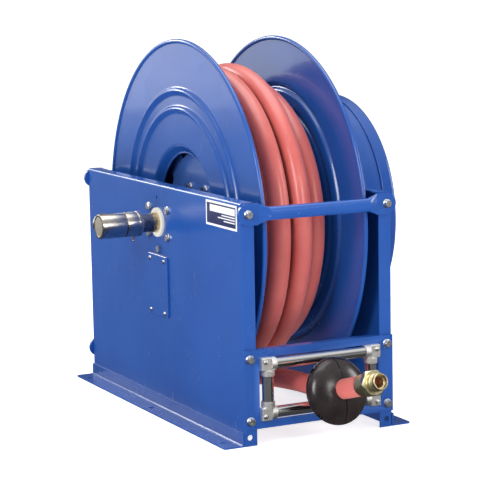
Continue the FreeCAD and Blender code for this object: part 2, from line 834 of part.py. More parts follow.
def hub_plate_shape(x, inward):
    """A round plate with arms out to the drum; inward points to the spool's middle."""
    plate = axle_ring(2 * hub_radius, axle_d, x, x + inward * hub_plate)
    reach = drum_radius - drum_wall
    for k in range(hub_arms):
        arm = block((x, x + inward * hub_plate), (-hub_arm_wide / 2, hub_arm_wide / 2),
                    (axle_height + hub_radius - hub_arm_root, axle_height + reach + 5))
        arm.rotate(axle_at, X_AXIS, 45 + 360.0 / hub_arms * k)
        plate = plate.fuse(arm)
    plate = plate.common(axle_ring(2 * reach, axle_d, x, x + inward * hub_plate))
    for a in hub_bolt_angles():
        plate = plate.cut(rod(bolt_d + bolt_clear, around(x - 9, hub_bolt_circle, a),
                              around(x + 9, hub_bolt_circle, a)))
    return plate


def make_spool():
    parts["left_disc"] = disc(disc_left_x, -1)
    parts["right_disc"] = disc(disc_right_x, 1)
    drum_start = disc_left_x + disc_sheet
    drum_end = disc_right_x - disc_sheet
    drum = axle_ring(2 * drum_radius, 2 * (drum_radius - drum_wall), drum_start, drum_end)
    bolts = []
    axle = axle_ring(axle_d, axle_bore, axle_left_x, hub_right_x)
    axle = axle.fuse(rod(axle_d, at_axle(hub_right_x), at_axle(axle_right_x)))
    for name, x, inward in (("left", hub_left_x, 1), ("right", hub_right_x, -1)):
        parts[name + "_hub_plate"] = hub_plate_shape(x, inward)
        face = x + inward * hub_plate
        flange = axle_ring(2 * hub_flange_radius, axle_d - 1, face, face + inward * hub_flange)
        for a in hub_bolt_angles():
            seat = around(x, hub_bolt_circle, a)
            bolt, nut = flange_bolt(seat, X_AXIS * -inward, hub_plate + hub_flange)
            bolts += [bolt, nut]
            flange = flange.cut(rod(bolt_d + bolt_clear, seat - X_AXIS * 20, seat + X_AXIS * 20))
        axle = axle.fuse(flange)
    parts["hub_bolts"] = group(bolts)
    riser_x = hub_right_x - hub_plate - hub_flange - riser_hub_gap
    riser_top = drum_radius - riser_below_drum
    foot_end = at_axle(riser_x)
    riser = tube(riser_d, axle_bore, foot_end, around(riser_x, riser_top, riser_angle))
    riser = riser.cut(rod(axle_d, at_axle(riser_x - riser_d), at_axle(riser_x + riser_d)))
    axle = axle.cut(rod(axle_bore, foot_end, around(riser_x, axle_d, riser_angle)))
    parts["axle"] = axle
    parts["riser_pipe"] = riser
    mouth = around(riser_x, riser_top, riser_angle)
    nozzle = around(riser_x, drum_radius - drum_wall / 2, riser_angle)
    elbow = Part.makeSphere(riser_elbow_d / 2, mouth).fuse(rod(riser_d, mouth, nozzle))
    elbow = elbow.cut(rod(riser_d, at_axle(riser_x), mouth)).cut(rod(axle_bore, mouth, nozzle))
    parts["riser_elbow"] = elbow
    slot = rod(hose_d + 2 * hose_hole_gap, mouth, around(riser_x, drum_radius + 10, riser_angle))
    parts["drum"] = drum.cut(slot)
    make_coil()


def make_coil():
    """The wound hose as one ring; each layer of turns is a step of it."""
    left = disc_left_x + disc_sheet + coil_side_gap
    right = disc_right_x - disc_sheet - coil_side_gap
    wide = right - left
    inner = drum_radius + coil_drum_gap
    spans = ((0, 1), (0, coil_second_end), (coil_third_start, coil_third_end))
    coil = None
    for top, (start, end) in zip(coil_layers, spans):
        radius = drum_radius + top
        ring = axle_ring(2 * radius, 2 * inner, left + start * wide, left + end * wide)
        rims = [e for e in ring.Edges if e.Closed and e.Curve.Radius > radius - 0.1]
        ring = ring.makeFillet(coil_round, rims)
        coil = ring if coil is None else coil.fuse(ring)
    parts["wound_hose"] = coil.removeSplitter()


# Swivel -----------------------------------------------------------------------------------

def make_swivel():
    spigot_end = stem_end_x - spigot_long
    way_end = spigot_end - end_gap - way_wall
    stem = axle_ring(stem_d, water_way, axle_left_x, stem_end_x)
    stem = stem.fuse(axle_ring(spigot_d, water_way, stem_end_x, spigot_end))
    stem = stem.fuse(axle_ring(axle_bore, water_way, axle_left_x + stem_plug, axle_left_x))
    flats_start = at_axle(axle_left_x - stem_flats_from)
    flats_end = at_axle(axle_left_x - stem_flats_to)
    outside = rod(2 * stem_d, flats_start, flats_end).cut(hexagon(stem_flats, flats_start, flats_end))
    parts["swivel_stem"] = stem.cut(outside)
    fit_d = spigot_d + 2 * running_gap
    start = stem_end_x - end_gap
    packing = axle_ring(packing_d, fit_d, start, packing_end_x)
    rims = [e for e in packing.Edges if e.Closed and e.Curve.Radius > fit_d / 2 + 1]
    parts["swivel_packing_nut"] = packing.makeChamfer(packing_edge, rims)
    body_start = packing_end_x
    body = rod(swivel_d, at_axle(body_start - groove), at_axle(swivel_end_x))
    rims = [e for e in body.Edges if e.Closed]
    body = body.makeChamfer(swivel_edge, rims)
    body = body.fuse(rod(swivel_d - 2 * groove, at_axle(body_start), at_axle(body_start - 2 * groove)))
    boss_end = point(inlet_x, inlet_reach, axle_height)
    body = body.fuse(rod(inlet_boss_d, at_axle(inlet_x), boss_end))
    body = body.cut(rod(seal_d, at_axle(body_start + 1), at_axle(body_start - seal_long)))
    body = body.cut(rod(fit_d, at_axle(body_start), at_axle(spigot_end - end_gap)))
    body = body.cut(rod(axle_bore, at_axle(spigot_end), at_axle(way_end - way_wall)))
    body = body.cut(rod(axle_bore, at_axle(inlet_x), boss_end))
    body = body.cut(rod(2 * inlet_radius, boss_end - Y_AXIS * inlet_deep, boss_end + Y_AXIS))
    parts["swivel_body"] = body
    parts["swivel_seal"] = axle_ring(seal_d, spigot_d + 2 * seal_gap, body_start, body_start - seal_long)
    grease_x = start - grease_from_axle
    under = point(grease_x, 0, axle_height - packing_d / 2)
    low = under - Z_AXIS * grease_drop
    nipple = rod(grease_hex_d, under + Z_AXIS * grease_neck_d, under - Z_AXIS * (grease_drop / 2))
    nipple = nipple.fuse(rod(grease_neck_d, under, low))
    nipple = nipple.fuse(Part.makeSphere(grease_ball_d / 2, low))
    nipple = nipple.cut(rod(packing_d, at_axle(start), at_axle(packing_end_x)))
    parts["grease_fitting"] = nipple.removeSplitter()


# Canister -----------------------------------------------------------------------------------

def make_canister():
    r = canister_radius
    wall = canister_wall
    f = canister_fillet
    bend = math.sqrt(0.5)
    hole = bearing_d / 2 + canister_hole_gap
    a = canister_x
    back = turned([
        xr(a, hole),
        xr(a, r - f),
        (xr(a + f - f * bend, r - f + f * bend), xr(a + f, r)),
        xr(canister_seam_x, r),
        xr(canister_seam_x, r - wall),
        xr(a + f, r - wall),
        (xr(a + f - (f - wall) * bend, r - f + (f - wall) * bend), xr(a + wall, r - f)),
        xr(a + wall, hole),
    ])
    for place in canister_bolt_places():
        back = back.cut(rod(bolt_d, place, place + X_AXIS * 30))
    parts["canister_back"] = back
    e = canister_end_x
    c = canister_round
    lip = canister_lip
    outer = r + canister_lap
    lip_end = canister_seam_x + canister_lip_long
    cover = turned([
        xr(canister_seam_x, r - wall),
        xr(canister_seam_x, outer + lip),
        xr(lip_end, outer + lip),
        xr(lip_end + 1, outer),
        xr(e - c, outer),
        (xr(e - c + c * bend, outer - c + c * bend), xr(e, outer - c)),
        xr(e, 0),
        xr(e - wall, 0),
        xr(e - wall, outer - c),
        (xr(e - c + (c - wall) * bend, outer - c + (c - wall) * bend), xr(e - c, outer - wall)),
        xr(lip_end + 1, outer - wall),
    ])
    screws = []
    for k in range(rim_screws):
        seat = around(e, rim_screw_circle, 360.0 / rim_screws * (k + 0.5))
        cover = cover.cut(rod(screw_d, seat - X_AXIS * (wall + 1), seat + X_AXIS))
        long = wall + 2 * screw_past
        screws.append(pan_screw(seat, X_AXIS, screw_d, long, rim_screw_head_d, rim_screw_head))
    parts["canister_cover"] = cover
    parts["canister_rim_screws"] = group(screws)
    standoffs = []
    for place in canister_bolt_places():
        inside = place - X_AXIS * (panel_sheet + nut_high)
        head = place + X_AXIS * (canister_gap + wall)
        head_end = head + X_AXIS * canister_bolt_head
        bolt = rod(bolt_d, inside, head).fuse(hexagon(bolt_flats, head, head_end))
        bolt = bolt.fuse(hexagon(bolt_flats, place - X_AXIS * panel_sheet, inside))
        standoffs.append(bolt.fuse(rod(standoff_d, place, place + X_AXIS * canister_gap)))
    parts["canister_bolts"] = group(standoffs)
    make_power_spring()


def half_turns(radius, step, count, centre, x):
    """Half circles joined end to end, each one a little larger than the last."""
    edges = []
    here = radius
    left = centre.y - radius
    for k in range(count):
        side = 1 if k % 2 == 0 else -1
        start = point(x, left, centre.z) if side > 0 else point(x, right, centre.z)
        middle_y = start.y + side * here
        end = point(x, start.y + side * 2 * here, centre.z)
        edges.append(Part.Arc(start, point(x, middle_y, centre.z + side * here), end).toShape())
        if side > 0:
            right = end.y
        else:
            left = end.y
        here += step / 2
    return edges


def make_power_spring():
    """The rewind spring: a flat band wound from the arbor out towards the canister's wall."""
    arbor_start = canister_x + canister_wall + arbor_in
    x0 = arbor_start + (arbor_long - spring_band) / 2
    room = canister_radius - canister_wall - arbor_d / 2 - spring_room
    spring_turns = int(room / spring_pitch)
    parts["spring_arbor"] = axle_ring(arbor_d, axle_d, arbor_start, arbor_start + arbor_long)
    inner = half_turns(arbor_d / 2, spring_pitch, 2 * spring_turns, at_axle(x0), x0)
    outer = half_turns(arbor_d / 2 + spring_thick, spring_pitch, 2 * spring_turns, at_axle(x0), x0)
    first = Part.LineSegment(inner[0].Vertexes[0].Point, outer[0].Vertexes[0].Point).toShape()
    last_in = inner[-1].Vertexes[-1].Point
    last_out = outer[-1].Vertexes[-1].Point
    last = Part.LineSegment(last_in, last_out).toShape()
    wire = Part.Wire(inner + [last] + outer[::-1] + [first])
    parts["power_spring"] = Part.Face(wire).extrude(X_AXIS * spring_band)


# Hose end -----------------------------------------------------------------------------------

def hose_tube(spots, d):
    """A tube along straight runs joined by tangent arcs; prints each radius and its volume."""
    edges = []
    here = spots[0]
    length = 0.0
    for before, corner, after in zip(spots, spots[1:], spots[2:]):
        into = (corner - before).normalize()
        away = (after - corner).normalize()
        half_turn = into.getAngle(away) / 2
        cut = 0.45 * min((corner - before).Length, (after - corner).Length)
        radius = cut / math.tan(half_turn)
        start = corner - into * cut
        end = corner + away * cut
        inward = (away - into).normalize()
        middle = corner + inward * (radius / math.cos(half_turn) - radius)
        edges.append(Part.LineSegment(here, start).toShape())
        edges.append(Part.Arc(start, middle, end).toShape())
        length += (start - here).Length + 2 * half_turn * radius
        here = end
        print("hose bend radius %.0f mm" % radius)
    edges.append(Part.LineSegment(here, spots[-1]).toShape())
    length += (spots[-1] - here).Length
    path = Part.Wire(edges)
    circle = Part.Wire(Part.makeCircle(d / 2, spots[0], spots[1] - spots[0]))
    solid = path.makePipeShell([circle], True, False)
    expected = math.pi * d * d / 4 * length
    print("hose length %.1f mm, volume %.0f, section times length %.0f" % (length, solid.Volume, expected))
    return solid


def hose_route():
    """The hose's bends from the bottom of the coil, through the ball stop, to its end."""
    start_z = axle_height - drum_radius - coil_layers[1] - hose_lay_gap - hose_d / 2
    spots = [point(hose_start_x, 0, start_z)]
    ball_z = guide_mid_z - ball_below
    for x, back, share, rise in zip(hose_bend_x, hose_bend_back, hose_bend_share, hose_bend_rise):
        spots.append(point(x, front_y + back, start_z + share * (ball_z - start_z) + rise))
    spots.append(point(ball_x, front_y - ball_out, ball_z))
    spots.append(point(hose_stop_x, front_y - hose_stop_out, guide_mid_z + hose_stop_above))
    return spots


def ball_stop(centre, way):
    """The whole ball stop: a ball flattened along the hose."""
    low = point(0, -ball_long / 2, 0)
    high = point(0, ball_long / 2, 0)
    ellipse = Part.Ellipse(point(0, 0, 0), ball_d / 2, ball_long / 2)
    edge = Part.ArcOfEllipse(ellipse, -math.pi / 2, math.pi / 2).toShape()
    face = Part.Face(Part.Wire([edge, Part.makeLine(high, low)]))
    solid = face.revolve(point(0, 0, 0), Y_AXIS, 360)
    solid.Placement = FreeCAD.Placement(centre, FreeCAD.Rotation(Y_AXIS, way))
    return solid


def make_hose_end():
    route = hose_route()
    tail = hose_tube(route, hose_d)
    parts["hose_tail"] = tail
    centre, end = route[-2:]
    way = (end - centre).normalize()
    ball = ball_stop(centre, way).cut(tail)
    screws = []
    across = way.cross(Z_AXIS).normalize()
    up = across.cross(way).normalize()
    for k in (-1, 1):
        spot = centre + up * (k * ball_screw_out)
        reach = across * ball_screw_half
        screws.append(rod(ball_screw_d, spot - reach, spot + reach))
    for name, side in (("ball_stop_right", 1), ("ball_stop_left", -1)):
        corner = centre + across * (side * ball_seam / 2)
        box = Part.makeBox(ball_d, 2 * ball_d, 2 * ball_d, point(0, -ball_d, -ball_d))
        turn = FreeCAD.Rotation(across * side, way, up, "XYZ")
        box.Placement = FreeCAD.Placement(corner, turn)
        half = ball.common(box)
        for screw in screws:
            half = half.cut(screw)
        parts[name] = half
    parts["ball_stop_screws"] = group(screws)
    ferrule_end = end + way * ferrule_long
    ferrule = rod(hose_d + 2 * ferrule_wall, end - way * ferrule_lap, ferrule_end)
    parts["hose_ferrule"] = ferrule.cut(tail).cut(rod(coupling_bore, end, ferrule_end))
    hex_end = ferrule_end + way * coupling_hex_long
    thread_end = hex_end + way * thread_long
    coupling = hexagon(coupling_hex, ferrule_end, hex_end, 30)
    coupling = coupling.fuse(rod(thread_d, hex_end, thread_end))
    parts["hose_coupling"] = coupling.cut(rod(coupling_bore, ferrule_end, thread_end))


make_frame()
make_fasteners()
make_bearings()
make_access_plate()
make_ratchet()
make_spool()
make_swivel()
make_canister()
make_hose_end()

os.makedirs("parts", exist_ok=True)
for name, shape in parts.items():
    shape.exportStep("parts/%s.step" % name)
    if not shape.isValid() or not shape.Solids:
        print("check", name, shape.isValid(), len(shape.Solids))
print(len(parts), "sub-parts")
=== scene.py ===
import json
import math
import bpy
import bmesh
from functools import partial
from mathutils import Matrix, Vector


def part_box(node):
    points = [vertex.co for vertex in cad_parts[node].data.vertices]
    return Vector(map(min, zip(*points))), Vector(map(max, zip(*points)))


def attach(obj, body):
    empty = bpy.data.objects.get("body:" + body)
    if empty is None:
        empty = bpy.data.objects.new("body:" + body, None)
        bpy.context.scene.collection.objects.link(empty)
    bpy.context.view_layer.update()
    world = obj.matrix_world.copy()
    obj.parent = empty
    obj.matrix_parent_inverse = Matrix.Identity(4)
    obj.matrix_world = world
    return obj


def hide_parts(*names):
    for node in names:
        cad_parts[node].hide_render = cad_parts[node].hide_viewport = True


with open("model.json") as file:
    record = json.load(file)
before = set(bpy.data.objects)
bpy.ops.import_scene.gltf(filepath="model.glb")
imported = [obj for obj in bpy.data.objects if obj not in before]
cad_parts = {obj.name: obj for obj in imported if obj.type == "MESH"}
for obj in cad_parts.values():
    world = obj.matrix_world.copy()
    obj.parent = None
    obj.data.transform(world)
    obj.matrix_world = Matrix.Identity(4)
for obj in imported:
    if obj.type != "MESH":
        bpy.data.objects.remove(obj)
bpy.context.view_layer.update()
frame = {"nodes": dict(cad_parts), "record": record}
print("frame loaded:", len(frame["nodes"]), "nodes")

discLow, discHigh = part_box("left_disc")
axleZ = (discLow.z + discHigh.z) / 2
axleCentre = Vector((0, 0, axleZ))
panelLow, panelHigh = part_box("left_side_panel")
panelX = -panelLow.x  # both panels stand this far from the middle
frontY = panelLow.y
frameTop = panelHigh.z
xAxis = Vector((1, 0, 0))
yAxis = Vector((0, 1, 0))
zAxis = Vector((0, 0, 1))

cameraView = {"place": (-1.667392, -3.386045, 0.882001), "yaw": 0.464, "pitch": 0.147,
              "roll": -0.018, "lens": 139.58, "sensor": 36.0}


def makeCamera():
    yaw, pitch, roll = cameraView["yaw"], cameraView["pitch"], cameraView["roll"]
    ahead = Vector((math.sin(yaw) * math.cos(pitch), math.cos(yaw) * math.cos(pitch), -math.sin(pitch)))
    level = Vector((math.cos(yaw), -math.sin(yaw), 0))
    lift = level.cross(ahead)
    right = level * math.cos(roll) + lift * math.sin(roll)
    up = lift * math.cos(roll) - level * math.sin(roll)
    data = bpy.data.cameras.new("camera")
    data.sensor_fit = "HORIZONTAL"
    data.sensor_width = cameraView["sensor"]
    data.lens = cameraView["lens"]
    camera = bpy.data.objects.new("camera", data)
    turn = Matrix((right, up, -ahead)).transposed().to_4x4()
    turn.translation = cameraView["place"]
    camera.matrix_world = turn
    bpy.context.scene.collection.objects.link(camera)
    bpy.context.scene.camera = camera


makeCamera()

hose = {"diameter": 0.0381, "bevelSteps": 7, "lineSteps": 10}


def aroundAxle(x, radius, degrees):
    a = math.radians(degrees)  # 0 is up and 90 is the front
    return Vector((x, -radius * math.sin(a), axleZ + radius * math.cos(a)))


def sceneObject(name, data):
    piece = bpy.data.objects.new(name, data)
    bpy.context.scene.collection.objects.link(piece)
    return piece


def hoseCurve(name, points):
    curve = bpy.data.curves.new(name, "CURVE")
    curve.dimensions = "3D"
    spline = curve.splines.new("NURBS")
    spline.points.add(len(points) - 1)
    for spot, place in zip(spline.points, points):
        spot.co = (*place, 1)
        spot.radius = hose["diameter"] / 2  # times a depth of 1, so that the box round the curve is true
    spline.order_u = 3
    spline.use_endpoint_u = True
    curve.resolution_u = hose["lineSteps"]
    curve.bevel_depth = 1.0
    curve.bevel_resolution = hose["bevelSteps"]
    curve.use_fill_caps = True
    curve.twist_mode = "MINIMUM"
    return sceneObject(name, curve)


# each lap is the layer that it lies in and its X where it passes the front
coil = {"layers": (0.2124, 0.2505, 0.2886), "perTurn": 18, "start": -330 / 360, "end": 8.75,
        "laps": ((0, 0.057), (0, 0.011), (0, -0.035), (1, -0.081), (1, -0.035), (1, 0.011),
                 (1, 0.057), (2, 0.009), (2, -0.037)),
        "startX": 0.046, "exitX": -0.080, "crossing": (0.40, 0.66),
        "climbEarly": (0.20, 0.38), "climbLate": (0.68, 0.86), "earlyLap": 6,
        "slack": 0.0065, "slackTurn": 7.9, "slackSpan": 0.07, "waver": (0.0006, 5.3),
        "sway": (0.0011, 3.7), "length": 14.95}


def easeBetween(value, low, high):
    t = min(1.0, max(0.0, (value - low) / (high - low)))
    return t * t * (3 - 2 * t)


def coilPoint(turn):
    laps = coil["laps"]
    lap = math.floor(turn)
    part = turn - lap
    layer, x = laps[lap] if lap >= 0 else (0, coil["startX"])
    nextLayer, nextX = laps[lap + 1] if lap + 1 < len(laps) else (layer, coil["exitX"])
    radius, nextRadius = coil["layers"][layer], coil["layers"][nextLayer]
    place = x + (nextX - x) * easeBetween(part, *coil["crossing"])
    climb = coil["climbLate"] if nextX < x else coil["climbEarly"]
    if lap == coil["earlyLap"]:
        climb = coil["climbEarly"]  # the outermost layer starts before it crosses
    away = radius + (nextRadius - radius) * easeBetween(part, *climb)
    slack = math.exp(-((turn - coil["slackTurn"]) / coil["slackSpan"]) ** 2)
    away += coil["slack"] * slack  # the last turn hangs a little slack
    waver, waverRate = coil["waver"]
    sway, swayRate = coil["sway"]
    away += waver * math.sin(waverRate * turn * math.pi)
    place += sway * math.sin(swayRate * turn * math.pi + 1.0)
    inside = 0.75 + 0.25 * math.cos(2 * math.pi / coil["perTurn"])  # how far the spline cuts in
    return aroundAxle(place, away / inside, 90 - 360 * turn)


def makeHose():
    count = round((coil["end"] - coil["start"]) * coil["perTurn"])
    turns = [coil["start"] + (coil["end"] - coil["start"]) * k / count for k in range(count + 1)]
    wound = hoseCurve("woundHose", [coilPoint(t) for t in turns])
    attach(wound, "spool")
    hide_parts("wound_hose")
    route = (
        (-0.0800, 0.000, 0.0892),
        (-0.0785, -0.095, 0.0920),
        (-0.0640, -0.205, 0.0995),
        (-0.0290, -0.320, 0.1035),
        (-0.0125, -0.366, 0.0990),
        (0.0010, -0.412, 0.0975),
        (0.0060, -0.4526, 0.1075),
        (0.0101, -0.5118, 0.1256),
    )
    end = hoseCurve("hoseEnd", route)
    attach(end, "frame")
    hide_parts("hose_tail")
    return wound, end, route


woundHose, hoseEnd, hoseRoute = makeHose()
ballCentre = Vector((0.0040, -0.4240, 0.0987))
hoseStop = Vector(hoseRoute[-1])
hoseWay = (hoseStop - ballCentre).normalized()
print("hose laid")


def newMaterial(name):
    material = bpy.data.materials.new(name)
    material.use_nodes = True
    shader = material.node_tree.nodes["Principled BSDF"]
    return material, material.node_tree, shader


def addNode(tree, kind, **settings):
    node = tree.nodes.new(kind)
    for key, value in settings.items():
        setattr(node, key, value)
    return node


def objectPoint(tree, scale=(1, 1, 1), move=(0, 0, 0), turn=(0, 0, 0)):
    place = addNode(tree, "ShaderNodeTexCoord")
    mapping = addNode(tree, "ShaderNodeMapping")
    mapping.inputs["Scale"].default_value = scale
    mapping.inputs["Location"].default_value = move
    mapping.inputs["Rotation"].default_value = turn
    tree.links.new(place.outputs["Object"], mapping.inputs["Vector"])
    return mapping.outputs["Vector"]


def noiseOf(tree, vector, scale, detail=3.0, rough=0.55):
    node = addNode(tree, "ShaderNodeTexNoise")
    node.inputs["Scale"].default_value = scale
    node.inputs["Detail"].default_value = detail
    node.inputs["Roughness"].default_value = rough
    tree.links.new(vector, node.inputs["Vector"])
    return node.outputs["Fac"]


def rampOf(tree, factor, stops):
    node = addNode(tree, "ShaderNodeValToRGB")
    ramp = node.color_ramp
    while len(ramp.elements) < len(stops):
        ramp.elements.new(0.5)
    for element, (place, colour) in zip(ramp.elements, stops):
        element.position = place
        element.color = (*colour, 1)
    tree.links.new(factor, node.inputs["Fac"])
    return node.outputs["Color"]


def grey(value):
    return (value, value, value)


def rangeOf(tree, factor, low, high, toLow, toHigh):
    node = addNode(tree, "ShaderNodeMapRange")
    for name, value in zip(("From Min", "From Max", "To Min", "To Max"), (low, high, toLow, toHigh)):
        node.inputs[name].default_value = value
    tree.links.new(factor, node.inputs["Value"])
    return node.outputs["Result"]


def treeMath(tree, how, first, second=0.0, third=None):
    node = addNode(tree, "ShaderNodeMath", operation=how)
    for socket, value in zip(node.inputs, (first, second, third)):
        if value is None:
            continue
        if isinstance(value, (int, float)):
            socket.default_value = value
        else:
            tree.links.new(value, socket)
    return node.outputs[0]


def addUp(tree, first, second, how="ADD"):
    return treeMath(tree, how, first, second)


def bumpOf(tree, shader, height, strength, distance):
    node = addNode(tree, "ShaderNodeBump")
    node.inputs["Strength"].default_value = strength
    node.inputs["Distance"].default_value = distance
    tree.links.new(height, node.inputs["Height"])
    tree.links.new(node.outputs["Normal"], shader.inputs["Normal"])


def mixColour(tree, factor, first, second):
    node = addNode(tree, "ShaderNodeMix", data_type="RGBA")
    tree.links.new(factor, node.inputs["Factor"])
    for socket, value in ((node.inputs[6], first), (node.inputs[7], second)):
        if isinstance(value, tuple):
            socket.default_value = (*value, 1)
        else:
            tree.links.new(value, socket)
    return node.outputs[2]


def edgeWear(tree, low, high):
    geometry = addNode(tree, "ShaderNodeNewGeometry")  # brightest where a surface folds outwards
    return rangeOf(tree, geometry.outputs["Pointiness"], low, high, 0.0, 1.0)


powderBlue = {"deep": (0.009, 0.064, 0.30), "light": (0.014, 0.084, 0.355), "dust": (0.16, 0.22, 0.42),
              "scuff": (0.20, 0.28, 0.55), "worn": (0.055, 0.15, 0.50), "peelScale": 620.0,
              "peel": 0.035, "rough": (0.20, 0.28), "coat": 0.25, "coatRough": 0.06}


def bluePowderCoat():
    material, tree, shader = newMaterial("bluePowderCoat")
    point = objectPoint(tree)
    broad = noiseOf(tree, point, 4.0)
    colour = rampOf(tree, broad, ((0.30, powderBlue["deep"]), (0.72, powderBlue["light"])))
    dust = noiseOf(tree, objectPoint(tree, (1, 1, 0.35)), 26.0, 6.0, 0.7)
    dustAmount = rangeOf(tree, dust, 0.60, 0.86, 0.0, 0.10)
    colour = mixColour(tree, dustAmount, colour, powderBlue["dust"])
    scuff = noiseOf(tree, objectPoint(tree, (1, 9, 1), turn=(0.5, 0, 0)), 60.0, 2.0)
    scuffAmount = rangeOf(tree, scuff, 0.70, 0.80, 0.0, 0.05)
    colour = mixColour(tree, scuffAmount, colour, powderBlue["scuff"])
    colour = mixColour(tree, edgeWear(tree, 0.56, 0.68), colour, powderBlue["worn"])
    tree.links.new(colour, shader.inputs["Base Color"])
    rough = rangeOf(tree, noiseOf(tree, point, 13.0, 4.0), 0.3, 0.7, *powderBlue["rough"])
    tree.links.new(addUp(tree, rough, dustAmount), shader.inputs["Roughness"])
    shader.inputs["Coat Weight"].default_value = powderBlue["coat"]
    shader.inputs["Coat Roughness"].default_value = powderBlue["coatRough"]
    peel = noiseOf(tree, point, powderBlue["peelScale"], 1.0)
    wave = noiseOf(tree, point, 34.0, 1.0)
    bumpOf(tree, shader, addUp(tree, peel, addUp(tree, wave, 5.0, "MULTIPLY")), powderBlue["peel"], 0.0012)
    return material


hoseRed = {"deep": (0.52, 0.090, 0.080), "light": (0.66, 0.150, 0.130), "bloom": (0.78, 0.25, 0.21),
           "grime": (0.30, 0.035, 0.03), "wraps": 14.5 / 0.019 / 20, "rough": (0.30, 0.44)}


def redHose():
    material, tree, shader = newMaterial("redHose")
    point = objectPoint(tree)
    broad = noiseOf(tree, point, 7.0, 4.0)
    colour = rampOf(tree, broad, ((0.28, hoseRed["deep"]), (0.70, hoseRed["light"])))
    bloom = noiseOf(tree, point, 38.0, 5.0, 0.7)
    colour = mixColour(tree, rangeOf(tree, bloom, 0.56, 0.82, 0.0, 0.22), colour, hoseRed["bloom"])
    grime = noiseOf(tree, objectPoint(tree, (1, 1, 1), (3, 1, 0)), 15.0, 6.0, 0.65)
    colour = mixColour(tree, rangeOf(tree, grime, 0.62, 0.85, 0.0, 0.30), colour, hoseRed["grime"])
    tree.links.new(colour, shader.inputs["Base Color"])
    tree.links.new(rangeOf(tree, bloom, 0.3, 0.7, *hoseRed["rough"]), shader.inputs["Roughness"])
    shader.inputs["Specular IOR Level"].default_value = 0.55
    shader.inputs["Coat Weight"].default_value = 0.18
    shader.inputs["Coat Roughness"].default_value = 0.22
    shader.inputs["Sheen Weight"].default_value = 0.12
    wrap = addNode(tree, "ShaderNodeTexWave", wave_type="BANDS", bands_direction="X")
    wrap.inputs["Scale"].default_value = hoseRed["wraps"]
    wrap.inputs["Distortion"].default_value = 0.0
    uv = addNode(tree, "ShaderNodeTexCoord")
    lean = addNode(tree, "ShaderNodeMapping")
    lean.inputs["Rotation"].default_value = (0, 0, 0.002)
    tree.links.new(uv.outputs["UV"], lean.inputs["Vector"])
    tree.links.new(lean.outputs["Vector"], wrap.inputs["Vector"])
    grain = noiseOf(tree, point, 900.0, 2.0)
    ripple = noiseOf(tree, point, 90.0, 2.0)
    height = addUp(tree, addUp(tree, wrap.outputs["Fac"], 0.5, "MULTIPLY"), addUp(tree, grain, ripple))
    bumpOf(tree, shader, height, 0.10, 0.0009)
    return material


def metalFinish(name, colour, dark, rough, brushScale, brushStretch=(1, 1, 1), bump=0.05):
    material, tree, shader = newMaterial(name)
    shader.inputs["Metallic"].default_value = 1.0
    brush = noiseOf(tree, objectPoint(tree, brushStretch), brushScale, 3.0, 0.6)
    patch = noiseOf(tree, objectPoint(tree), 45.0, 5.0, 0.65)
    tone = mixColour(tree, rangeOf(tree, patch, 0.35, 0.75, 0.0, 1.0), colour, dark)
    shade = rangeOf(tree, brush, 0.3, 0.7, 0.86, 1.06)
    mixed = addNode(tree, "ShaderNodeMix", data_type="RGBA", blend_type="MULTIPLY")
    mixed.inputs["Factor"].default_value = 1.0
    tree.links.new(tone, mixed.inputs[6])
    tree.links.new(shade, mixed.inputs[7])
    bare = tuple(min(1.0, c * 1.25) for c in colour)
    worn = mixColour(tree, edgeWear(tree, 0.54, 0.66), mixed.outputs[2], bare)
    tree.links.new(worn, shader.inputs["Base Color"])
    roughness = addUp(tree, rangeOf(tree, brush, 0.2, 0.8, *rough),
                      rangeOf(tree, patch, 0.5, 0.9, 0.0, 0.12))
    tree.links.new(roughness, shader.inputs["Roughness"])
    bumpOf(tree, shader, addUp(tree, brush, patch), bump, 0.0006)
    return material


def plasticFinish(name, colour, second, rough, grainScale, bump, speckle):
    material, tree, shader = newMaterial(name)
    point = objectPoint(tree)
    tone = rampOf(tree, noiseOf(tree, point, 30.0, 4.0), ((0.3, colour), (0.75, second)))
    dust = rangeOf(tree, noiseOf(tree, point, 120.0, 5.0, 0.7), 0.60, 0.85, 0.0, speckle)
    tree.links.new(mixColour(tree, dust, tone, (0.45, 0.43, 0.42)), shader.inputs["Base Color"])
    fine = noiseOf(tree, point, grainScale, 2.0)
    tree.links.new(rangeOf(tree, fine, 0.25, 0.75, *rough), shader.inputs["Roughness"])
    bumpOf(tree, shader, fine, bump, 0.0008)
    return material


metals = {  # name, colour, darker patches, roughness, brush marks and their stretch, bump
    "zinc": ("brightZinc", (0.80, 0.81, 0.82), (0.66, 0.67, 0.67), (0.22, 0.36), 160.0),
    "steel": ("polishedRoller", (0.80, 0.80, 0.81), (0.70, 0.70, 0.70), (0.08, 0.22), 260.0, (8, 1, 8)),
    "cast": ("castAlloy", (0.95, 0.94, 0.92), (0.86, 0.85, 0.83), (0.44, 0.60), 420.0, (1, 1, 1), 0.22),
    "brass": ("machinedBrass", (0.87, 0.76, 0.49), (0.74, 0.62, 0.36), (0.24, 0.36), 300.0, (1, 6, 1)),
    "cap": ("facedCap", (0.80, 0.75, 0.65), (0.70, 0.65, 0.55), (0.55, 0.66), 300.0),
    "axle": ("turnedBrass", (0.60, 0.46, 0.25), (0.42, 0.32, 0.18), (0.22, 0.38), 300.0, (9, 1, 1)),
    "iron": ("oiledSteel", (0.36, 0.36, 0.37), (0.24, 0.23, 0.22), (0.28, 0.45), 220.0, (1, 1, 1), 0.12),
    "spring": ("bluedSpring", (0.16, 0.18, 0.24), (0.10, 0.10, 0.12), (0.25, 0.40), 260.0, (5, 1, 1)),
    "nickel": ("satinNickel", (0.56, 0.52, 0.47), (0.42, 0.39, 0.35), (0.16, 0.28), 330.0, (10, 1, 1)),
}
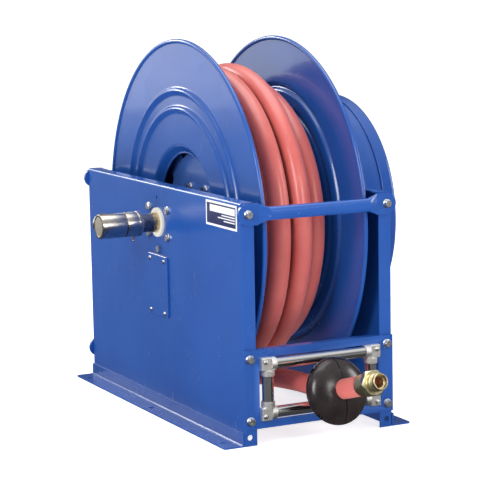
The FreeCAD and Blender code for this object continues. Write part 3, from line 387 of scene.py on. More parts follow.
plastics = {  # name, colour, second colour, roughness, grain, bump, specks
    "nylon": ("whiteNylon", (0.80, 0.78, 0.70), (0.72, 0.69, 0.60), (0.38, 0.52), 700.0, 0.10, 0.06),
    "seal": ("blackSeal", (0.015, 0.015, 0.016), (0.03, 0.03, 0.03), (0.45, 0.6), 600.0, 0.1, 0.05),
    "ball": ("ballRubber", (0.013, 0.009, 0.010), (0.024, 0.017, 0.017), (0.20, 0.28), 260.0, 0.04, 0.03),
    "white": ("labelWhite", (0.86, 0.87, 0.90), (0.80, 0.81, 0.85), (0.25, 0.35), 500.0, 0.03, 0.02),
    "navy": ("labelNavy", (0.012, 0.020, 0.085), (0.018, 0.028, 0.11), (0.25, 0.35), 500.0, 0.03, 0.02),
}
materials = {"blue": bluePowderCoat(), "hose": redHose()}
materials.update({key: metalFinish(*values) for key, values in metals.items()})
materials.update({key: plasticFinish(*values) for key, values in plastics.items()})
print("materials made:", len(materials))


def addTurned(name, corners, steps, middle, way, degrees, *finish):
    addPiece(name, latheMesh(name, corners, steps, middle, way, degrees), *finish)


def addPiece(name, mesh, material, body, slot, replaces=()):
    piece = sceneObject(name, mesh)
    mesh.materials.clear()
    mesh.materials.append(materials[material])
    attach(piece, body)
    if replaces:
        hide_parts(*replaces)
    return piece


def bakedMesh(piece, *helpers):
    # the piece's mesh with its modifiers applied; the piece and its helpers go
    bpy.context.view_layer.update()
    mesh = bpy.data.meshes.new_from_object(piece.evaluated_get(bpy.context.evaluated_depsgraph_get()))
    for item in (piece, *helpers):
        bpy.data.objects.remove(item)
    return mesh


def cutWith(piece, tool, how="DIFFERENCE"):
    cut = piece.modifiers.new("cut", "BOOLEAN")
    cut.operation = how
    cut.solver = "EXACT"
    cut.object = tool
    return cut


def smoothMesh(mesh, degrees=32):
    for face in mesh.polygons:
        face.use_smooth = True
    mesh.set_sharp_from_angle(angle=math.radians(degrees))


def meshFrom(work, name, degrees=32):
    mesh = bpy.data.meshes.new(name)
    bmesh.ops.recalc_face_normals(work, faces=work.faces)
    work.to_mesh(mesh)
    work.free()
    smoothMesh(mesh, degrees)
    return mesh


def softProfile(corners, steps=4):
    # corners are (along, radius, rounding); the outline closes on itself
    outline = []
    for k, (along, radius, rounding) in enumerate(corners):
        here = Vector((along, radius))
        if rounding <= 0:
            outline.append(here)
            continue
        before, after = Vector(corners[k - 1][:2]), Vector(corners[(k + 1) % len(corners)][:2])
        reach = min(rounding, 0.45 * (before - here).length, 0.45 * (after - here).length)
        start = here + (before - here).normalized() * reach
        end = here + (after - here).normalized() * reach
        for s in range(steps + 1):
            t = s / steps
            outline.append(start * (1 - t) ** 2 + here * 2 * t * (1 - t) + end * t * t)
    return outline


def latheWork(outline, steps, origin, way):
    spin = way.to_track_quat("Z", "Y").to_matrix()
    work = bmesh.new()
    rings = []
    for k in range(steps):
        a = 2 * math.pi * k / steps
        ring = []
        for along, radius in outline:
            spot = Vector((radius * math.cos(a), radius * math.sin(a), along))
            ring.append(work.verts.new(origin + spin @ spot))
        rings.append(ring)
    count = len(outline)
    for k in range(steps):
        here, there = rings[k], rings[(k + 1) % steps]
        for i in range(count):
            j = (i + 1) % count
            work.faces.new((here[i], here[j], there[j], there[i]))
    bmesh.ops.remove_doubles(work, verts=work.verts, dist=1e-6)
    bmesh.ops.dissolve_degenerate(work, edges=work.edges, dist=1e-7)
    return work


def latheMesh(name, outline, steps, origin, way, degrees=32):
    return meshFrom(latheWork(outline, steps, origin, way), name, degrees)


def softEdge(piece, width, degrees):
    bevel = piece.modifiers.new("edge", "BEVEL")
    bevel.width = width
    bevel.segments = 2
    bevel.limit_method = "ANGLE"
    bevel.angle_limit = math.radians(degrees)


def softenedCopy(node, width):
    # a copy of a sub-part with its sharp edges broken, as a press or a casting leaves them
    mesh = frame["nodes"][node].data.copy()
    work = bmesh.new()
    work.from_mesh(mesh)
    bmesh.ops.remove_doubles(work, verts=work.verts, dist=2e-6)
    bmesh.ops.dissolve_limit(work, angle_limit=math.radians(1.0), verts=work.verts, edges=work.edges)
    work.to_mesh(mesh)
    work.free()
    copy = sceneObject(node + "Work", mesh)
    for face in mesh.polygons:
        face.use_smooth = True
    softEdge(copy, width, 35)
    even = copy.modifiers.new("even", "WEIGHTED_NORMAL")  # keeps the wide flats looking flat
    even.weight = 60
    return bakedMesh(copy)


def newTree(name):
    tree = bpy.data.node_groups.new(name, "GeometryNodeTree")
    tree.interface.new_socket("Geometry", in_out="INPUT", socket_type="NodeSocketGeometry")
    tree.interface.new_socket("Geometry", in_out="OUTPUT", socket_type="NodeSocketGeometry")
    return tree, tree.nodes.new("NodeGroupInput"), tree.nodes.new("NodeGroupOutput")


def addInputs(tree, wanted):
    names = {}
    for name, kind, value in wanted:
        socket = tree.interface.new_socket(name, in_out="INPUT", socket_type="NodeSocket" + kind)
        if value is not None:
            socket.default_value = value
        names[name] = socket.identifier
    return names


def endTree(tree, geometry, finish, out):
    realize = addNode(tree, "GeometryNodeRealizeInstances")
    painted = addNode(tree, "GeometryNodeSetMaterial")
    tree.links.new(geometry, realize.inputs["Geometry"])
    tree.links.new(realize.outputs["Geometry"], painted.inputs["Geometry"])
    tree.links.new(finish, painted.inputs["Material"])
    tree.links.new(painted.outputs["Geometry"], out.inputs["Geometry"])


def grown(name, mesh, tree, names, values):
    # runs a Geometry Nodes tree on a mesh and gives back the plain mesh that it makes
    piece = sceneObject(name + "Work", mesh)
    modifier = piece.modifiers.new("grow", "NODES")
    modifier.node_group = tree
    for key, value in values.items():
        modifier[names[key]] = value
    result = bakedMesh(piece)
    result.name = name
    return result


def fastenerTree():
    tree, entry, out = newTree("fastenersOnPoints")
    names = addInputs(tree, (("Fastener", "Object", None), ("Size", "Float", 1.0), ("Seed", "Int", 4),
                             ("Finish", "Material", None)))
    info = addNode(tree, "GeometryNodeObjectInfo")
    facing = addNode(tree, "GeometryNodeInputNamedAttribute", data_type="FLOAT_VECTOR")
    facing.inputs["Name"].default_value = "facing"
    align = addNode(tree, "FunctionNodeAlignRotationToVector", axis="Z")
    spin = addNode(tree, "FunctionNodeRandomValue", data_type="FLOAT")
    spin.inputs[2].default_value = 0.0
    spin.inputs[3].default_value = 2 * math.pi
    turn = addNode(tree, "FunctionNodeAxisAngleToRotation")
    turn.inputs["Axis"].default_value = (0, 0, 1)
    both = addNode(tree, "FunctionNodeRotateRotation", rotation_space="LOCAL")
    instances = addNode(tree, "GeometryNodeInstanceOnPoints")
    link = tree.links.new
    link(entry.outputs["Fastener"], info.inputs["Object"])
    link(facing.outputs["Attribute"], align.inputs["Vector"])
    link(entry.outputs["Seed"], spin.inputs["Seed"])
    link(spin.outputs[1], turn.inputs["Angle"])
    link(align.outputs["Rotation"], both.inputs["Rotation"])
    link(turn.outputs["Rotation"], both.inputs["Rotate By"])
    link(entry.outputs["Geometry"], instances.inputs["Points"])
    link(info.outputs["Geometry"], instances.inputs["Instance"])
    link(both.outputs["Rotation"], instances.inputs["Rotation"])
    link(entry.outputs["Size"], instances.inputs["Scale"])
    endTree(tree, instances.outputs["Instances"], entry.outputs["Finish"], out)
    return tree, names


fastenerNodes, fastenerNames = fastenerTree()


def pointMesh(name, spots):
    mesh = bpy.data.meshes.new(name)
    mesh.from_pydata([tuple(start) for start, way in spots], [], [])
    facing = mesh.attributes.new("facing", "FLOAT_VECTOR", "POINT")
    for item, (start, way) in zip(facing.data, spots):
        item.vector = way
    return mesh


def fasteners(name, node, spots, pattern, seed):
    values = {"Fastener": pattern, "Size": 1.0, "Seed": seed, "Finish": materials["zinc"]}
    mesh = grown(name, pointMesh(name, spots), fastenerNodes, fastenerNames, values)
    smoothMesh(mesh)
    return addPiece(name, mesh, "zinc", "frame", "zinc_plate", (node,))


hexBolt = {"flats": 0.013, "flange": 0.0088, "high": 0.0078, "lowHigh": 0.0053, "rim": 0.0012,
           "crown": 0.0009, "crownShare": 0.965, "steps": 24, "markOut": 0.0036,
           "mark": (0.0028, 0.0005, 0.0004)}


def hexWork(flats, low, high, chamfer):
    # a hexagon whose corners are turned down to a round crown
    work = bmesh.new()
    rings = []
    for z in (low, high - chamfer, high):
        ring = []
        for k in range(hexBolt["steps"]):
            a = math.pi * 2 * k / hexBolt["steps"]
            r = flats / 2 / math.cos((a % (math.pi / 3)) - math.pi / 6)
            if z == high:
                r = min(r, flats / 2 * hexBolt["crownShare"])
            ring.append(work.verts.new((r * math.cos(a), r * math.sin(a), z)))
        rings.append(ring)
    for below, above in zip(rings, rings[1:]):
        for k in range(hexBolt["steps"]):
            m = (k + 1) % hexBolt["steps"]
            work.faces.new((below[k], below[m], above[m], above[k]))
    work.faces.new(rings[-1])
    work.faces.new(rings[0][::-1])
    return work


def boltPattern(name, high):
    work = hexWork(hexBolt["flats"], hexBolt["rim"], high, hexBolt["crown"])
    rim = softProfile(((0, 0, 0), (0, hexBolt["flange"], 0), (hexBolt["rim"], hexBolt["flange"], 0.0006),
                       (high * 0.42, hexBolt["flats"] / 2, 0.0008), (high * 0.42, 0, 0)))
    collar = latheMesh(name + "Collar", rim, 28, Vector((0, 0, 0)), zAxis)
    work.from_mesh(collar)
    for k in range(3):  # three grade marks on the crown
        turn = Matrix.Translation((0, 0, high)) @ Matrix.Rotation(2 * math.pi * k / 3, 4, "Z")
        out = Matrix.Translation((hexBolt["markOut"], 0, 0)) @ Matrix.Diagonal((*hexBolt["mark"], 1))
        bmesh.ops.create_cube(work, size=1.0, matrix=turn @ out)
    return bpy.data.objects.new(name, meshFrom(work, name))


def screwPattern(name, radius, high):
    # a domed head with a cross recess
    outline = [Vector((0, 0)), Vector((0, radius))]
    for k in range(1, 9):
        a = math.pi / 2 * k / 9
        outline.append(Vector((high * math.sin(a), radius * math.cos(a))))
    outline.append(Vector((high, 0)))
    whole = sceneObject(name + "Whole", latheMesh(name + "Whole", outline, 32, Vector((0, 0, 0)), zAxis))
    cutWork = bmesh.new()
    for k in range(2):
        bmesh.ops.create_cube(cutWork, size=1.0, matrix=Matrix.Translation((0, 0, high)) @
                              Matrix.Rotation(k * math.pi / 2, 4, "Z") @
                              Matrix.Diagonal((radius * 1.05, radius * 0.22, high * 0.9, 1)))
    cutter = sceneObject(name + "Cutter", meshFrom(cutWork, name + "Cutter"))
    cutWith(whole, cutter).use_self = True  # the two arms of the cross overlap
    mesh = bakedMesh(whole, cutter)
    smoothMesh(mesh)
    return bpy.data.objects.new(name, mesh)


fastening = {"postIn": 0.0127, "barBoltDrop": 0.021, "barThick": 0.006, "plateThick": 0.003,
             "guideLow": 0.047, "guideHigh": 0.1633, "lowBar": 0.060, "bearingY": 0.044, "bearingZ": 0.027,
             "rimCircle": 0.216, "rimCount": 12, "accessHalf": 0.033, "accessZ": (0.197, 0.302),
             "blockX": 0.119, "blockZ": (0.055, 0.157), "blockFace": 0.013}


def makeFasteners():
    f = fastening
    barTop = frameTop - f["barBoltDrop"]
    rows = ((-1, barTop, f["barThick"]), (1, barTop, f["barThick"]), (1, f["lowBar"], f["barThick"]),
            (-1, f["guideLow"], f["plateThick"]), (-1, f["guideHigh"], f["plateThick"]))
    bolt = boltPattern("flangeBolt", hexBolt["high"])
    lowBolt = boltPattern("bearingBolt", hexBolt["lowHigh"])
    spots = [(Vector((side * (panelX - f["postIn"]), end * (-frontY + thick), z)), yAxis * end)
             for side in (-1, 1) for end, z, thick in rows]
    fasteners("frameBolts", "frame_bolts", spots, bolt, 3)
    spots = [(Vector((side * panelX, y, axleZ + z)), xAxis * side) for side in (-1, 1)
             for y in (-f["bearingY"], f["bearingY"]) for z in (-f["bearingZ"], f["bearingZ"])]
    fasteners("bearingBolts", "bearing_bolts", spots, lowBolt, 8)
    rimScrew = screwPattern("rimScrew", 0.005, 0.004)
    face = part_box("canister_cover")[1].x
    turns = [360 / f["rimCount"] * (k + 0.5) for k in range(f["rimCount"])]
    spots = [(aroundAxle(face, f["rimCircle"], turn), xAxis) for turn in turns]
    fasteners("canisterRimScrews", "canister_rim_screws", spots, rimScrew, 5)
    plateScrew = screwPattern("plateScrew", 0.0045, 0.003)
    plateLow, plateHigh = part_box("access_plate")
    middle = (plateLow.y + plateHigh.y) / 2
    spots = [(Vector((plateLow.x, middle + y, z)), -xAxis)
             for y in (-f["accessHalf"], f["accessHalf"]) for z in f["accessZ"]]
    fasteners("accessPlateScrews", "access_plate_screws", spots, plateScrew, 2)
    blockScrew = screwPattern("blockScrew", 0.0045, 0.003)
    spots = [(Vector((side * f["blockX"], frontY - f["blockFace"], z)), -yAxis)
             for side in (-1, 1) for z in f["blockZ"]]
    fasteners("rollerBlockScrews", "roller_block_screws", spots, blockScrew, 6)


makeFasteners()
print("fasteners set")


def discTree():
    # a pressed disc: dished at the hub, two raised ribs, and a bead rolled round its edge
    tree, entry, out = newTree("pressedDisc")
    names = addInputs(tree, (("Edge", "Float", 0.36), ("Hole", "Float", 0.133), ("Dish", "Float", 0.152),
                             ("Dish Depth", "Float", 0.013), ("Rib One", "Float", 0.222),
                             ("Rib Two", "Float", 0.258), ("Rib Half", "Float", 0.009),
                             ("Rib Height", "Float", 0.007), ("Sheet", "Float", 0.002),
                             ("Bead", "Float", 0.0045), ("Plane", "Float", 0.0), ("Outward", "Float", 1.0),
                             ("Axle Height", "Float", 0.378), ("Segments", "Int", 168),
                             ("Rings", "Int", 130), ("Finish", "Material", None)))
    link, calc = tree.links.new, partial(treeMath, tree)
    value = entry.outputs
    grid = addNode(tree, "GeometryNodeMeshGrid")
    link(value["Rings"], grid.inputs["Vertices X"])
    link(value["Segments"], grid.inputs["Vertices Y"])
    spot = addNode(tree, "GeometryNodeInputPosition")
    split = addNode(tree, "ShaderNodeSeparateXYZ")
    link(spot.outputs[0], split.inputs[0])
    share = calc("ADD", split.outputs[0], 0.5)
    rimRadius = calc("SUBTRACT", value["Edge"], value["Bead"])
    span = calc("SUBTRACT", rimRadius, value["Hole"])
    radius = calc("MULTIPLY_ADD", share, span, value["Hole"])
    angle = calc("MULTIPLY", calc("ADD", split.outputs[1], 0.5), 2 * math.pi)
    height = None
    for rib in ("Rib One", "Rib Two"):
        away = calc("ABSOLUTE", calc("SUBTRACT", radius, value[rib]))
        near = calc("MINIMUM", calc("DIVIDE", away, value["Rib Half"]), 1.0)
        wave = calc("COSINE", calc("MULTIPLY", near, math.pi))
        swell = calc("MULTIPLY_ADD", wave, 0.5, 0.5)
        raised = calc("MULTIPLY", swell, value["Rib Height"])
        height = raised if height is None else calc("ADD", height, raised)
    fall = addNode(tree, "ShaderNodeMapRange", interpolation_type="SMOOTHSTEP")
    link(radius, fall.inputs["Value"])
    link(value["Dish"], fall.inputs["From Min"])
    link(value["Hole"], fall.inputs["From Max"])
    sink = calc("MULTIPLY", fall.outputs[0], value["Dish Depth"])
    height = calc("SUBTRACT", height, sink)
    placed = addNode(tree, "ShaderNodeCombineXYZ")
    link(calc("MULTIPLY_ADD", height, value["Outward"], value["Plane"]), placed.inputs[0])
    link(calc("MULTIPLY", radius, calc("SINE", angle)), placed.inputs[1])
    rise = calc("COSINE", angle)
    link(calc("MULTIPLY_ADD", radius, rise, value["Axle Height"]), placed.inputs[2])
    shape = addNode(tree, "GeometryNodeSetPosition")
    link(grid.outputs["Mesh"], shape.inputs["Geometry"])
    link(placed.outputs[0], shape.inputs["Position"])
    seam = addNode(tree, "GeometryNodeMergeByDistance")
    seam.inputs["Distance"].default_value = 1e-5
    link(shape.outputs[0], seam.inputs["Geometry"])
    back = addNode(tree, "ShaderNodeCombineXYZ")
    sheet = calc("MULTIPLY", value["Outward"], value["Sheet"])
    link(calc("MULTIPLY", sheet, -1.0), back.inputs[0])
    thick = addNode(tree, "GeometryNodeExtrudeMesh", mode="FACES")
    thick.inputs["Individual"].default_value = False
    thick.inputs["Offset Scale"].default_value = 1.0
    link(seam.outputs[0], thick.inputs["Mesh"])
    link(back.outputs[0], thick.inputs["Offset"])
    front = addNode(tree, "GeometryNodeFlipFaces")
    link(seam.outputs[0], front.inputs["Mesh"])
    beadLine = addNode(tree, "GeometryNodeCurvePrimitiveCircle")
    link(value["Segments"], beadLine.inputs["Resolution"])
    link(rimRadius, beadLine.inputs["Radius"])
    beadSection = addNode(tree, "GeometryNodeCurvePrimitiveCircle")
    beadSection.inputs["Resolution"].default_value = 14
    link(value["Bead"], beadSection.inputs["Radius"])
    bead = addNode(tree, "GeometryNodeCurveToMesh")
    link(beadLine.outputs["Curve"], bead.inputs["Curve"])
    link(beadSection.outputs["Curve"], bead.inputs["Profile Curve"])
    lay = addNode(tree, "GeometryNodeTransform")
    lay.inputs["Rotation"].default_value = (0, math.pi / 2, 0)
    beadPlace = addNode(tree, "ShaderNodeCombineXYZ")
    half = calc("MULTIPLY", sheet, -0.5)
    link(calc("ADD", value["Plane"], half), beadPlace.inputs[0])
    link(value["Axle Height"], beadPlace.inputs[2])
    link(beadPlace.outputs[0], lay.inputs["Translation"])
    link(bead.outputs[0], lay.inputs["Geometry"])
    sheets = addNode(tree, "GeometryNodeJoinGeometry")
    link(front.outputs[0], sheets.inputs[0])
    link(thick.outputs["Mesh"], sheets.inputs[0])
    closed = addNode(tree, "GeometryNodeMergeByDistance")
    closed.inputs["Distance"].default_value = 1e-5
    link(sheets.outputs[0], closed.inputs["Geometry"])
    whole = addNode(tree, "GeometryNodeJoinGeometry")
    link(closed.outputs[0], whole.inputs[0])
    link(lay.outputs[0], whole.inputs[0])
    endTree(tree, whole.outputs[0], value["Finish"], out)
    return tree, names


spoolDisc = {"edge": 0.360, "ribHeight": 0.007}


def makeDiscs():
    tree, names = discTree()
    for side, outward in (("left", -1.0), ("right", 1.0)):
        low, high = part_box(side + "_disc")
        plane = (low.x if outward < 0 else high.x) - outward * spoolDisc["ribHeight"]
        values = {"Edge": spoolDisc["edge"], "Plane": plane, "Outward": outward, "Axle Height": axleZ,
                  "Finish": materials["blue"]}
        mesh = grown(side + "DiscMesh", bpy.data.meshes.new(side + "DiscSeed"), tree, names, values)
        work = bmesh.new()
        work.from_mesh(mesh)
        mesh = meshFrom(work, side + "Disc", 40)
        addPiece(side + "Disc", mesh, "blue", "spool", "blue_powder_coat", (side + "_disc",))


makeDiscs()
print("spool discs pressed")


canister = {"radius": 0.235, "hole": 0.035, "bend": 0.025, "wall": 0.002, "lip": 0.0025,
            "round": 0.009, "steps": 144}


def makeCanister():
    low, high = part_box("canister_back")
    c = canister
    r, w = c["radius"], c["wall"]
    shell = softProfile(((low.x, c["hole"], 0), (low.x, r, c["bend"]), (high.x, r, 0), (high.x, r - w, 0),
                         (low.x + w, r - w, c["bend"] - w), (low.x + w, c["hole"], 0)), 10)
    addTurned("canisterBack", shell, c["steps"], axleCentre, xAxis, 30, "blue", "frame", "blue_powder_coat",
              ("canister_back",))
    start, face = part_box("canister_cover")[0].x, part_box("canister_cover")[1].x
    rim = r + 0.0005
    step, inner = face - 0.0035, face - w - 0.0005  # the pressed ring, and the sheet's inside
    lid = softProfile((
        (start, r - w, 0), (start, rim + c["lip"], 0.0008), (start + 0.003, rim + c["lip"], 0.0008),
        (start + 0.004, rim, 0.0006), (face, rim, c["round"]), (face, 0.192, 0.002), (step, 0.186, 0.002),
        (step, 0.172, 0.002), (face, 0.166, 0.002), (face, 0.070, 0.002), (face - 0.003, 0.064, 0.002),
        (face - 0.003, 0, 0), (face - 0.003 - w, 0, 0), (face - 0.003 - w, 0.066, 0), (inner, 0.072, 0),
        (inner, 0.164, 0), (step - w, 0.170, 0), (step - w, 0.188, 0), (inner, 0.194, 0),
        (face - w, rim - w, c["round"] - w), (start + 0.004, rim - w, 0)), 5)
    addTurned("canisterCover", lid, c["steps"], axleCentre, xAxis, 30, "blue", "frame", "blue_powder_coat",
              ("canister_cover",))


makeCanister()

swivel = {"steps": 72, "body": 0.0243, "nut": 0.0248, "boss": 0.021, "waterWay": 0.0127, "inlet": 0.016,
          "bore": 0.01505, "neck": 0.0218, "grooveShare": 0.74}
swivelSlot = ("swivel", "nickel_plate")


def makeSwivel():
    bodyLow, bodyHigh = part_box("swivel_body")
    nutLow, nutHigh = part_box("swivel_packing_nut")
    s = swivel
    start, end = bodyHigh.x, bodyLow.x
    groove = start - 0.002
    back = end + 0.016
    bore = s["bore"]
    barrel = softProfile((
        (start, 0.0181, 0), (start, s["neck"], 0.0004), (groove, s["neck"], 0.0004),
        (groove, s["body"], 0.0016), (end, s["body"], 0.0018), (end, 0.0195, 0.0006),
        (end + 0.0008, 0.0185, 0.0004), (end + 0.0008, 0, 0), (back, 0, 0), (back, bore, 0),
        (start - 0.005, bore, 0), (start - 0.005, 0.0181, 0)))
    addTurned("swivelBarrel", barrel, s["steps"], axleCentre, xAxis, 32, "nickel", *swivelSlot,
              ("swivel_body",))
    cap = softProfile(((end + 0.0010, 0, 0), (end + 0.0010, 0.0186, 0), (end + 0.0002, 0.0186, 0.0002),
                       (end + 0.0002, 0, 0)))
    addTurned("swivelCap", cap, 48, axleCentre, xAxis, 32, "cap", *swivelSlot)
    middle = Vector((groove - 0.026, 0, axleZ))
    reach = bodyHigh.y
    inlet = softProfile((
        (0.019, s["inlet"], 0), (0.019, s["boss"] - 0.001, 0.0006), (0.024, s["boss"], 0.001),
        (reach, s["boss"], 0.0015), (reach, s["inlet"], 0.0012)))
    addTurned("swivelInlet", inlet, s["steps"], middle, yAxis, 32, "nickel", *swivelSlot)
    edge = s["inlet"] + 0.0005
    floorDisc = softProfile(((0.0185, 0, 0), (0.0185, edge, 0), (0.0215, edge, 0),
                             (0.0215, s["waterWay"], 0.001), (0.0195, s["waterWay"] - 0.001, 0),
                             (0.0195, 0, 0)))
    addTurned("swivelWaterWay", floorDisc, 48, middle, yAxis, 32, "iron", *swivelSlot)
    x = nutLow.x + (nutHigh.x - nutLow.x) * s["grooveShare"]
    nut = ((nutLow.x, bore, 0), (nutLow.x, s["nut"] - 0.0006, 0.0005), (x - 0.0012, s["nut"], 0.0004),
           (x - 0.0006, s["nut"] - 0.0009, 0.0003), (x + 0.0006, s["nut"] - 0.0009, 0.0003),
           (x + 0.0012, s["nut"], 0.0004), (nutHigh.x, s["nut"], 0.0014), (nutHigh.x, bore, 0.0005))
    addTurned("packingNut", softProfile(nut), s["steps"], axleCentre, xAxis, 32, "nickel", *swivelSlot,
              ("swivel_packing_nut",))


makeSwivel()
print("canister and swivel turned")


ball = {"radius": 0.0635, "halfLong": 0.0286, "swellLong": 0.0300, "power": 2.0, "curveSteps": 44,
        "bore": 0.01915, "seam": 0.0009, "seamEdge": 0.0022, "steps": 96, "screwUp": 0.041,
        "headOut": 0.0365, "sinkOut": 0.036, "sinkRadius": 0.0062, "sinkLong": 0.03}


def makeBallStop():
    # two moulded halves that clamp round the hose
    b = ball
    outline = [Vector((-b["halfLong"], b["bore"] + 0.001)), Vector((-b["halfLong"] + 0.001, b["bore"]))]
    outline += [Vector((b["halfLong"] - 0.001, b["bore"])), Vector((b["halfLong"], b["bore"] + 0.001))]
    for k in range(b["curveSteps"] + 1):
        along = b["halfLong"] * math.cos(math.pi * k / b["curveSteps"])
        swell = 1 - abs(along / b["swellLong"]) ** b["power"]
        outline.append(Vector((along, b["radius"] * swell ** (1 / b["power"]))))
    across = hoseWay.cross(zAxis).normalized()
    up = across.cross(hoseWay).normalized()
    for side, node in ((1, "ball_stop_right"), (-1, "ball_stop_left")):
        work = latheWork(outline, b["steps"], ballCentre, hoseWay)
        way = across * side
        spot = ballCentre + way * b["seam"]
        everything = work.verts[:] + work.edges[:] + work.faces[:]
        cut = bmesh.ops.bisect_plane(work, geom=everything, plane_co=spot, plane_no=way, clear_inner=True)
        rim = [e for e in cut["geom_cut"] if isinstance(e, bmesh.types.BMEdge)]
        bmesh.ops.edgeloop_fill(work, edges=rim)
        name = "ballStopRight" if side > 0 else "ballStopLeft"
        half = sceneObject(name + "Work", meshFrom(work, name + "Plain", 50))
        cutters = []
        for k in (-1, 1) if side > 0 else ():  # the screws go in from the right
            start = ballCentre + up * (k * b["screwUp"]) + way * b["sinkOut"]
            wide, deep = b["sinkRadius"], b["sinkLong"]
            bar = softProfile(((0, 0, 0), (0, wide, 0), (deep, wide, 0), (deep, 0, 0)))
            cutters.append(sceneObject("ballCutter", latheMesh("ballHole", bar, 32, start, way)))
            cutWith(half, cutters[-1])
        softEdge(half, b["seamEdge"], 48)
        mesh = bakedMesh(half, *cutters)
        smoothMesh(mesh, 50)
        mesh.name = name
        addPiece(name, mesh, "ball", "frame", "black_ball", (node,))
    heads = [(ballCentre + up * (k * b["screwUp"]) + across * b["headOut"], across) for k in (-1, 1)]
    screw = screwPattern("ballScrew", 0.0052, 0.0036)
    fasteners("ballStopScrews", "ball_stop_screws", heads, screw, 9)


def threadTree():
    # a ridge that winds along a fitting and shrinks towards its mouth
    tree, entry, out = newTree("pipeThread")
    names = addInputs(tree, (("Start Radius", "Float", 0.0165), ("End Radius", "Float", 0.0158),
                             ("Long", "Float", 0.026), ("Turns", "Float", 11.0), ("Ridge", "Float", 0.0011),
                             ("Per Turn", "Int", 40), ("Finish", "Material", None)))
    link = tree.links.new
    value = entry.outputs
    line = addNode(tree, "GeometryNodeCurveSpiral")
    for name, socket in (("Per Turn", "Resolution"), ("Turns", "Rotations"), ("Long", "Height"),
                         ("Start Radius", "Start Radius"), ("End Radius", "End Radius")):
        link(value[name], line.inputs[socket])
    section = addNode(tree, "GeometryNodeCurvePrimitiveCircle")
    section.inputs["Resolution"].default_value = 4
    link(value["Ridge"], section.inputs["Radius"])
    ridge = addNode(tree, "GeometryNodeCurveToMesh")
    ridge.inputs["Fill Caps"].default_value = True
    link(line.outputs["Curve"], ridge.inputs["Curve"])
    link(section.outputs["Curve"], ridge.inputs["Profile Curve"])
    endTree(tree, ridge.outputs[0], value["Finish"], out)
    return tree, names


fitting = {"ferruleLong": 0.024, "ferruleRadius": 0.0206, "hexFlats": 0.0456, "hexLong": 0.013,
           "threadLong": 0.021, "threadRadius": 0.0167, "bore": 0.0127, "crimps": 3, "crimpPitch": 0.0062,
           "crimp": 0.0007, "ridge": 0.0010, "ridgeLong": 0.013, "ridgeTurns": 6.0, "ridgeStart": 0.0055}


def alongHose(name, corners, steps, distance):
    return latheMesh(name, softProfile(corners), steps, hoseStop + hoseWay * distance, hoseWay)


def moveAlongHose(mesh, distance):
    spin = hoseWay.to_track_quat("Z", "Y").to_matrix().to_4x4()
    spin.translation = hoseStop + hoseWay * distance
    mesh.transform(spin)


def addBrass(name, mesh, *nodes):
    addPiece(name, mesh, "brass", "frame", "brass", nodes)


def makeFitting():
    f = fitting
    r, b, deep, long = f["threadRadius"], f["bore"], f["threadLong"], f["hexLong"]
    outside, waist = f["ferruleRadius"], f["ferruleRadius"] - f["crimp"]
    ferrule = [(-0.002, 0.0192, 0), (-0.002, outside, 0.0006)]
    for k in range(f["crimps"]):
        z = 0.003 + k * f["crimpPitch"]
        ferrule += [(z, outside, 0.0006), (z + 0.0014, waist, 0.0006), (z + 0.0034, waist, 0.0006),
                    (z + 0.0048, outside, 0.0006)]
    ferrule += [(f["ferruleLong"], outside - 0.0005, 0.0006), (f["ferruleLong"], b, 0), (0.0005, b, 0),
                (0.0005, 0.0192, 0)]
    mesh = alongHose("hoseFerrule", ferrule, 64, 0.0)
    addBrass("hoseFerrule", mesh, "hose_ferrule")
    start = f["ferruleLong"]
    blank = meshFrom(hexWork(f["hexFlats"], 0.0, long, 0.0016), "hexBlank")
    moveAlongHose(blank, start)
    blankPiece = sceneObject("hexBlank", blank)
    corner = f["hexFlats"] / 2 * 1.13
    turned = ((0.0003, 0, 0), (0.0003, corner * 0.94, 0), (0.003, corner * 1.04, 0),
              (long - 0.004, corner * 1.04, 0), (long - 0.0003, corner * 0.86, 0), (long - 0.0003, 0, 0))
    turnedPiece = sceneObject("hexTurned", alongHose("hexTurned", turned, 72, start))
    drill = ((-0.01, 0, 0), (-0.01, b, 0), (0.06, b, 0), (0.06, 0, 0))
    drillPiece = sceneObject("hexDrill", alongHose("hexDrill", drill, 64, start))
    cutWith(blankPiece, turnedPiece, "INTERSECT")
    cutWith(blankPiece, drillPiece)
    mesh = bakedMesh(blankPiece, turnedPiece, drillPiece)
    smoothMesh(mesh, 25)
    addBrass("couplingHex", mesh, "hose_coupling")
    neck = start + long
    core = ((-0.001, b + 0.0006, 0), (-0.001, r - 0.0016, 0), (0.003, r - 0.0016, 0.0008),
            (0.0045, r - 0.0009, 0.0005), (deep - 0.0012, r - 0.0009, 0.0004), (deep, r - 0.0017, 0.0005),
            (deep, b + 0.0002, 0.0006), (deep - 0.007, b + 0.0002, 0.0004),
            (deep - 0.0085, b - 0.0024, 0.0004), (deep - 0.012, b - 0.0024, 0.0004),
            (deep - 0.013, b + 0.0002, 0.0004))
    addBrass("couplingNose", alongHose("couplingNose", core, 72, neck))
    tree, names = threadTree()
    values = {"Start Radius": r - 0.0010, "End Radius": r - 0.0018, "Long": f["ridgeLong"],
              "Turns": f["ridgeTurns"], "Ridge": f["ridge"], "Finish": materials["brass"]}
    thread = grown("couplingThread", bpy.data.meshes.new("threadSeed"), tree, names, values)
    moveAlongHose(thread, neck + f["ridgeStart"])
    smoothMesh(thread, 30)
    addBrass("couplingThread", thread)


makeBallStop()
makeFitting()
print("hose end fitted")


label = {"border": 0.0042, "rise": 0.0004, "gap": 0.0030,
         "bars": ((0.0125, 0.104), (0.0020, 0.055), (0.0020, 0.070), (0.0020, 0.046))}  # height and length


def boxWork(work, low, high):
    centre = (low + high) / 2
    size = high - low
    bmesh.ops.create_cube(work, size=1.0, matrix=Matrix.Translation(centre) @ Matrix.Diagonal((*size, 1)))


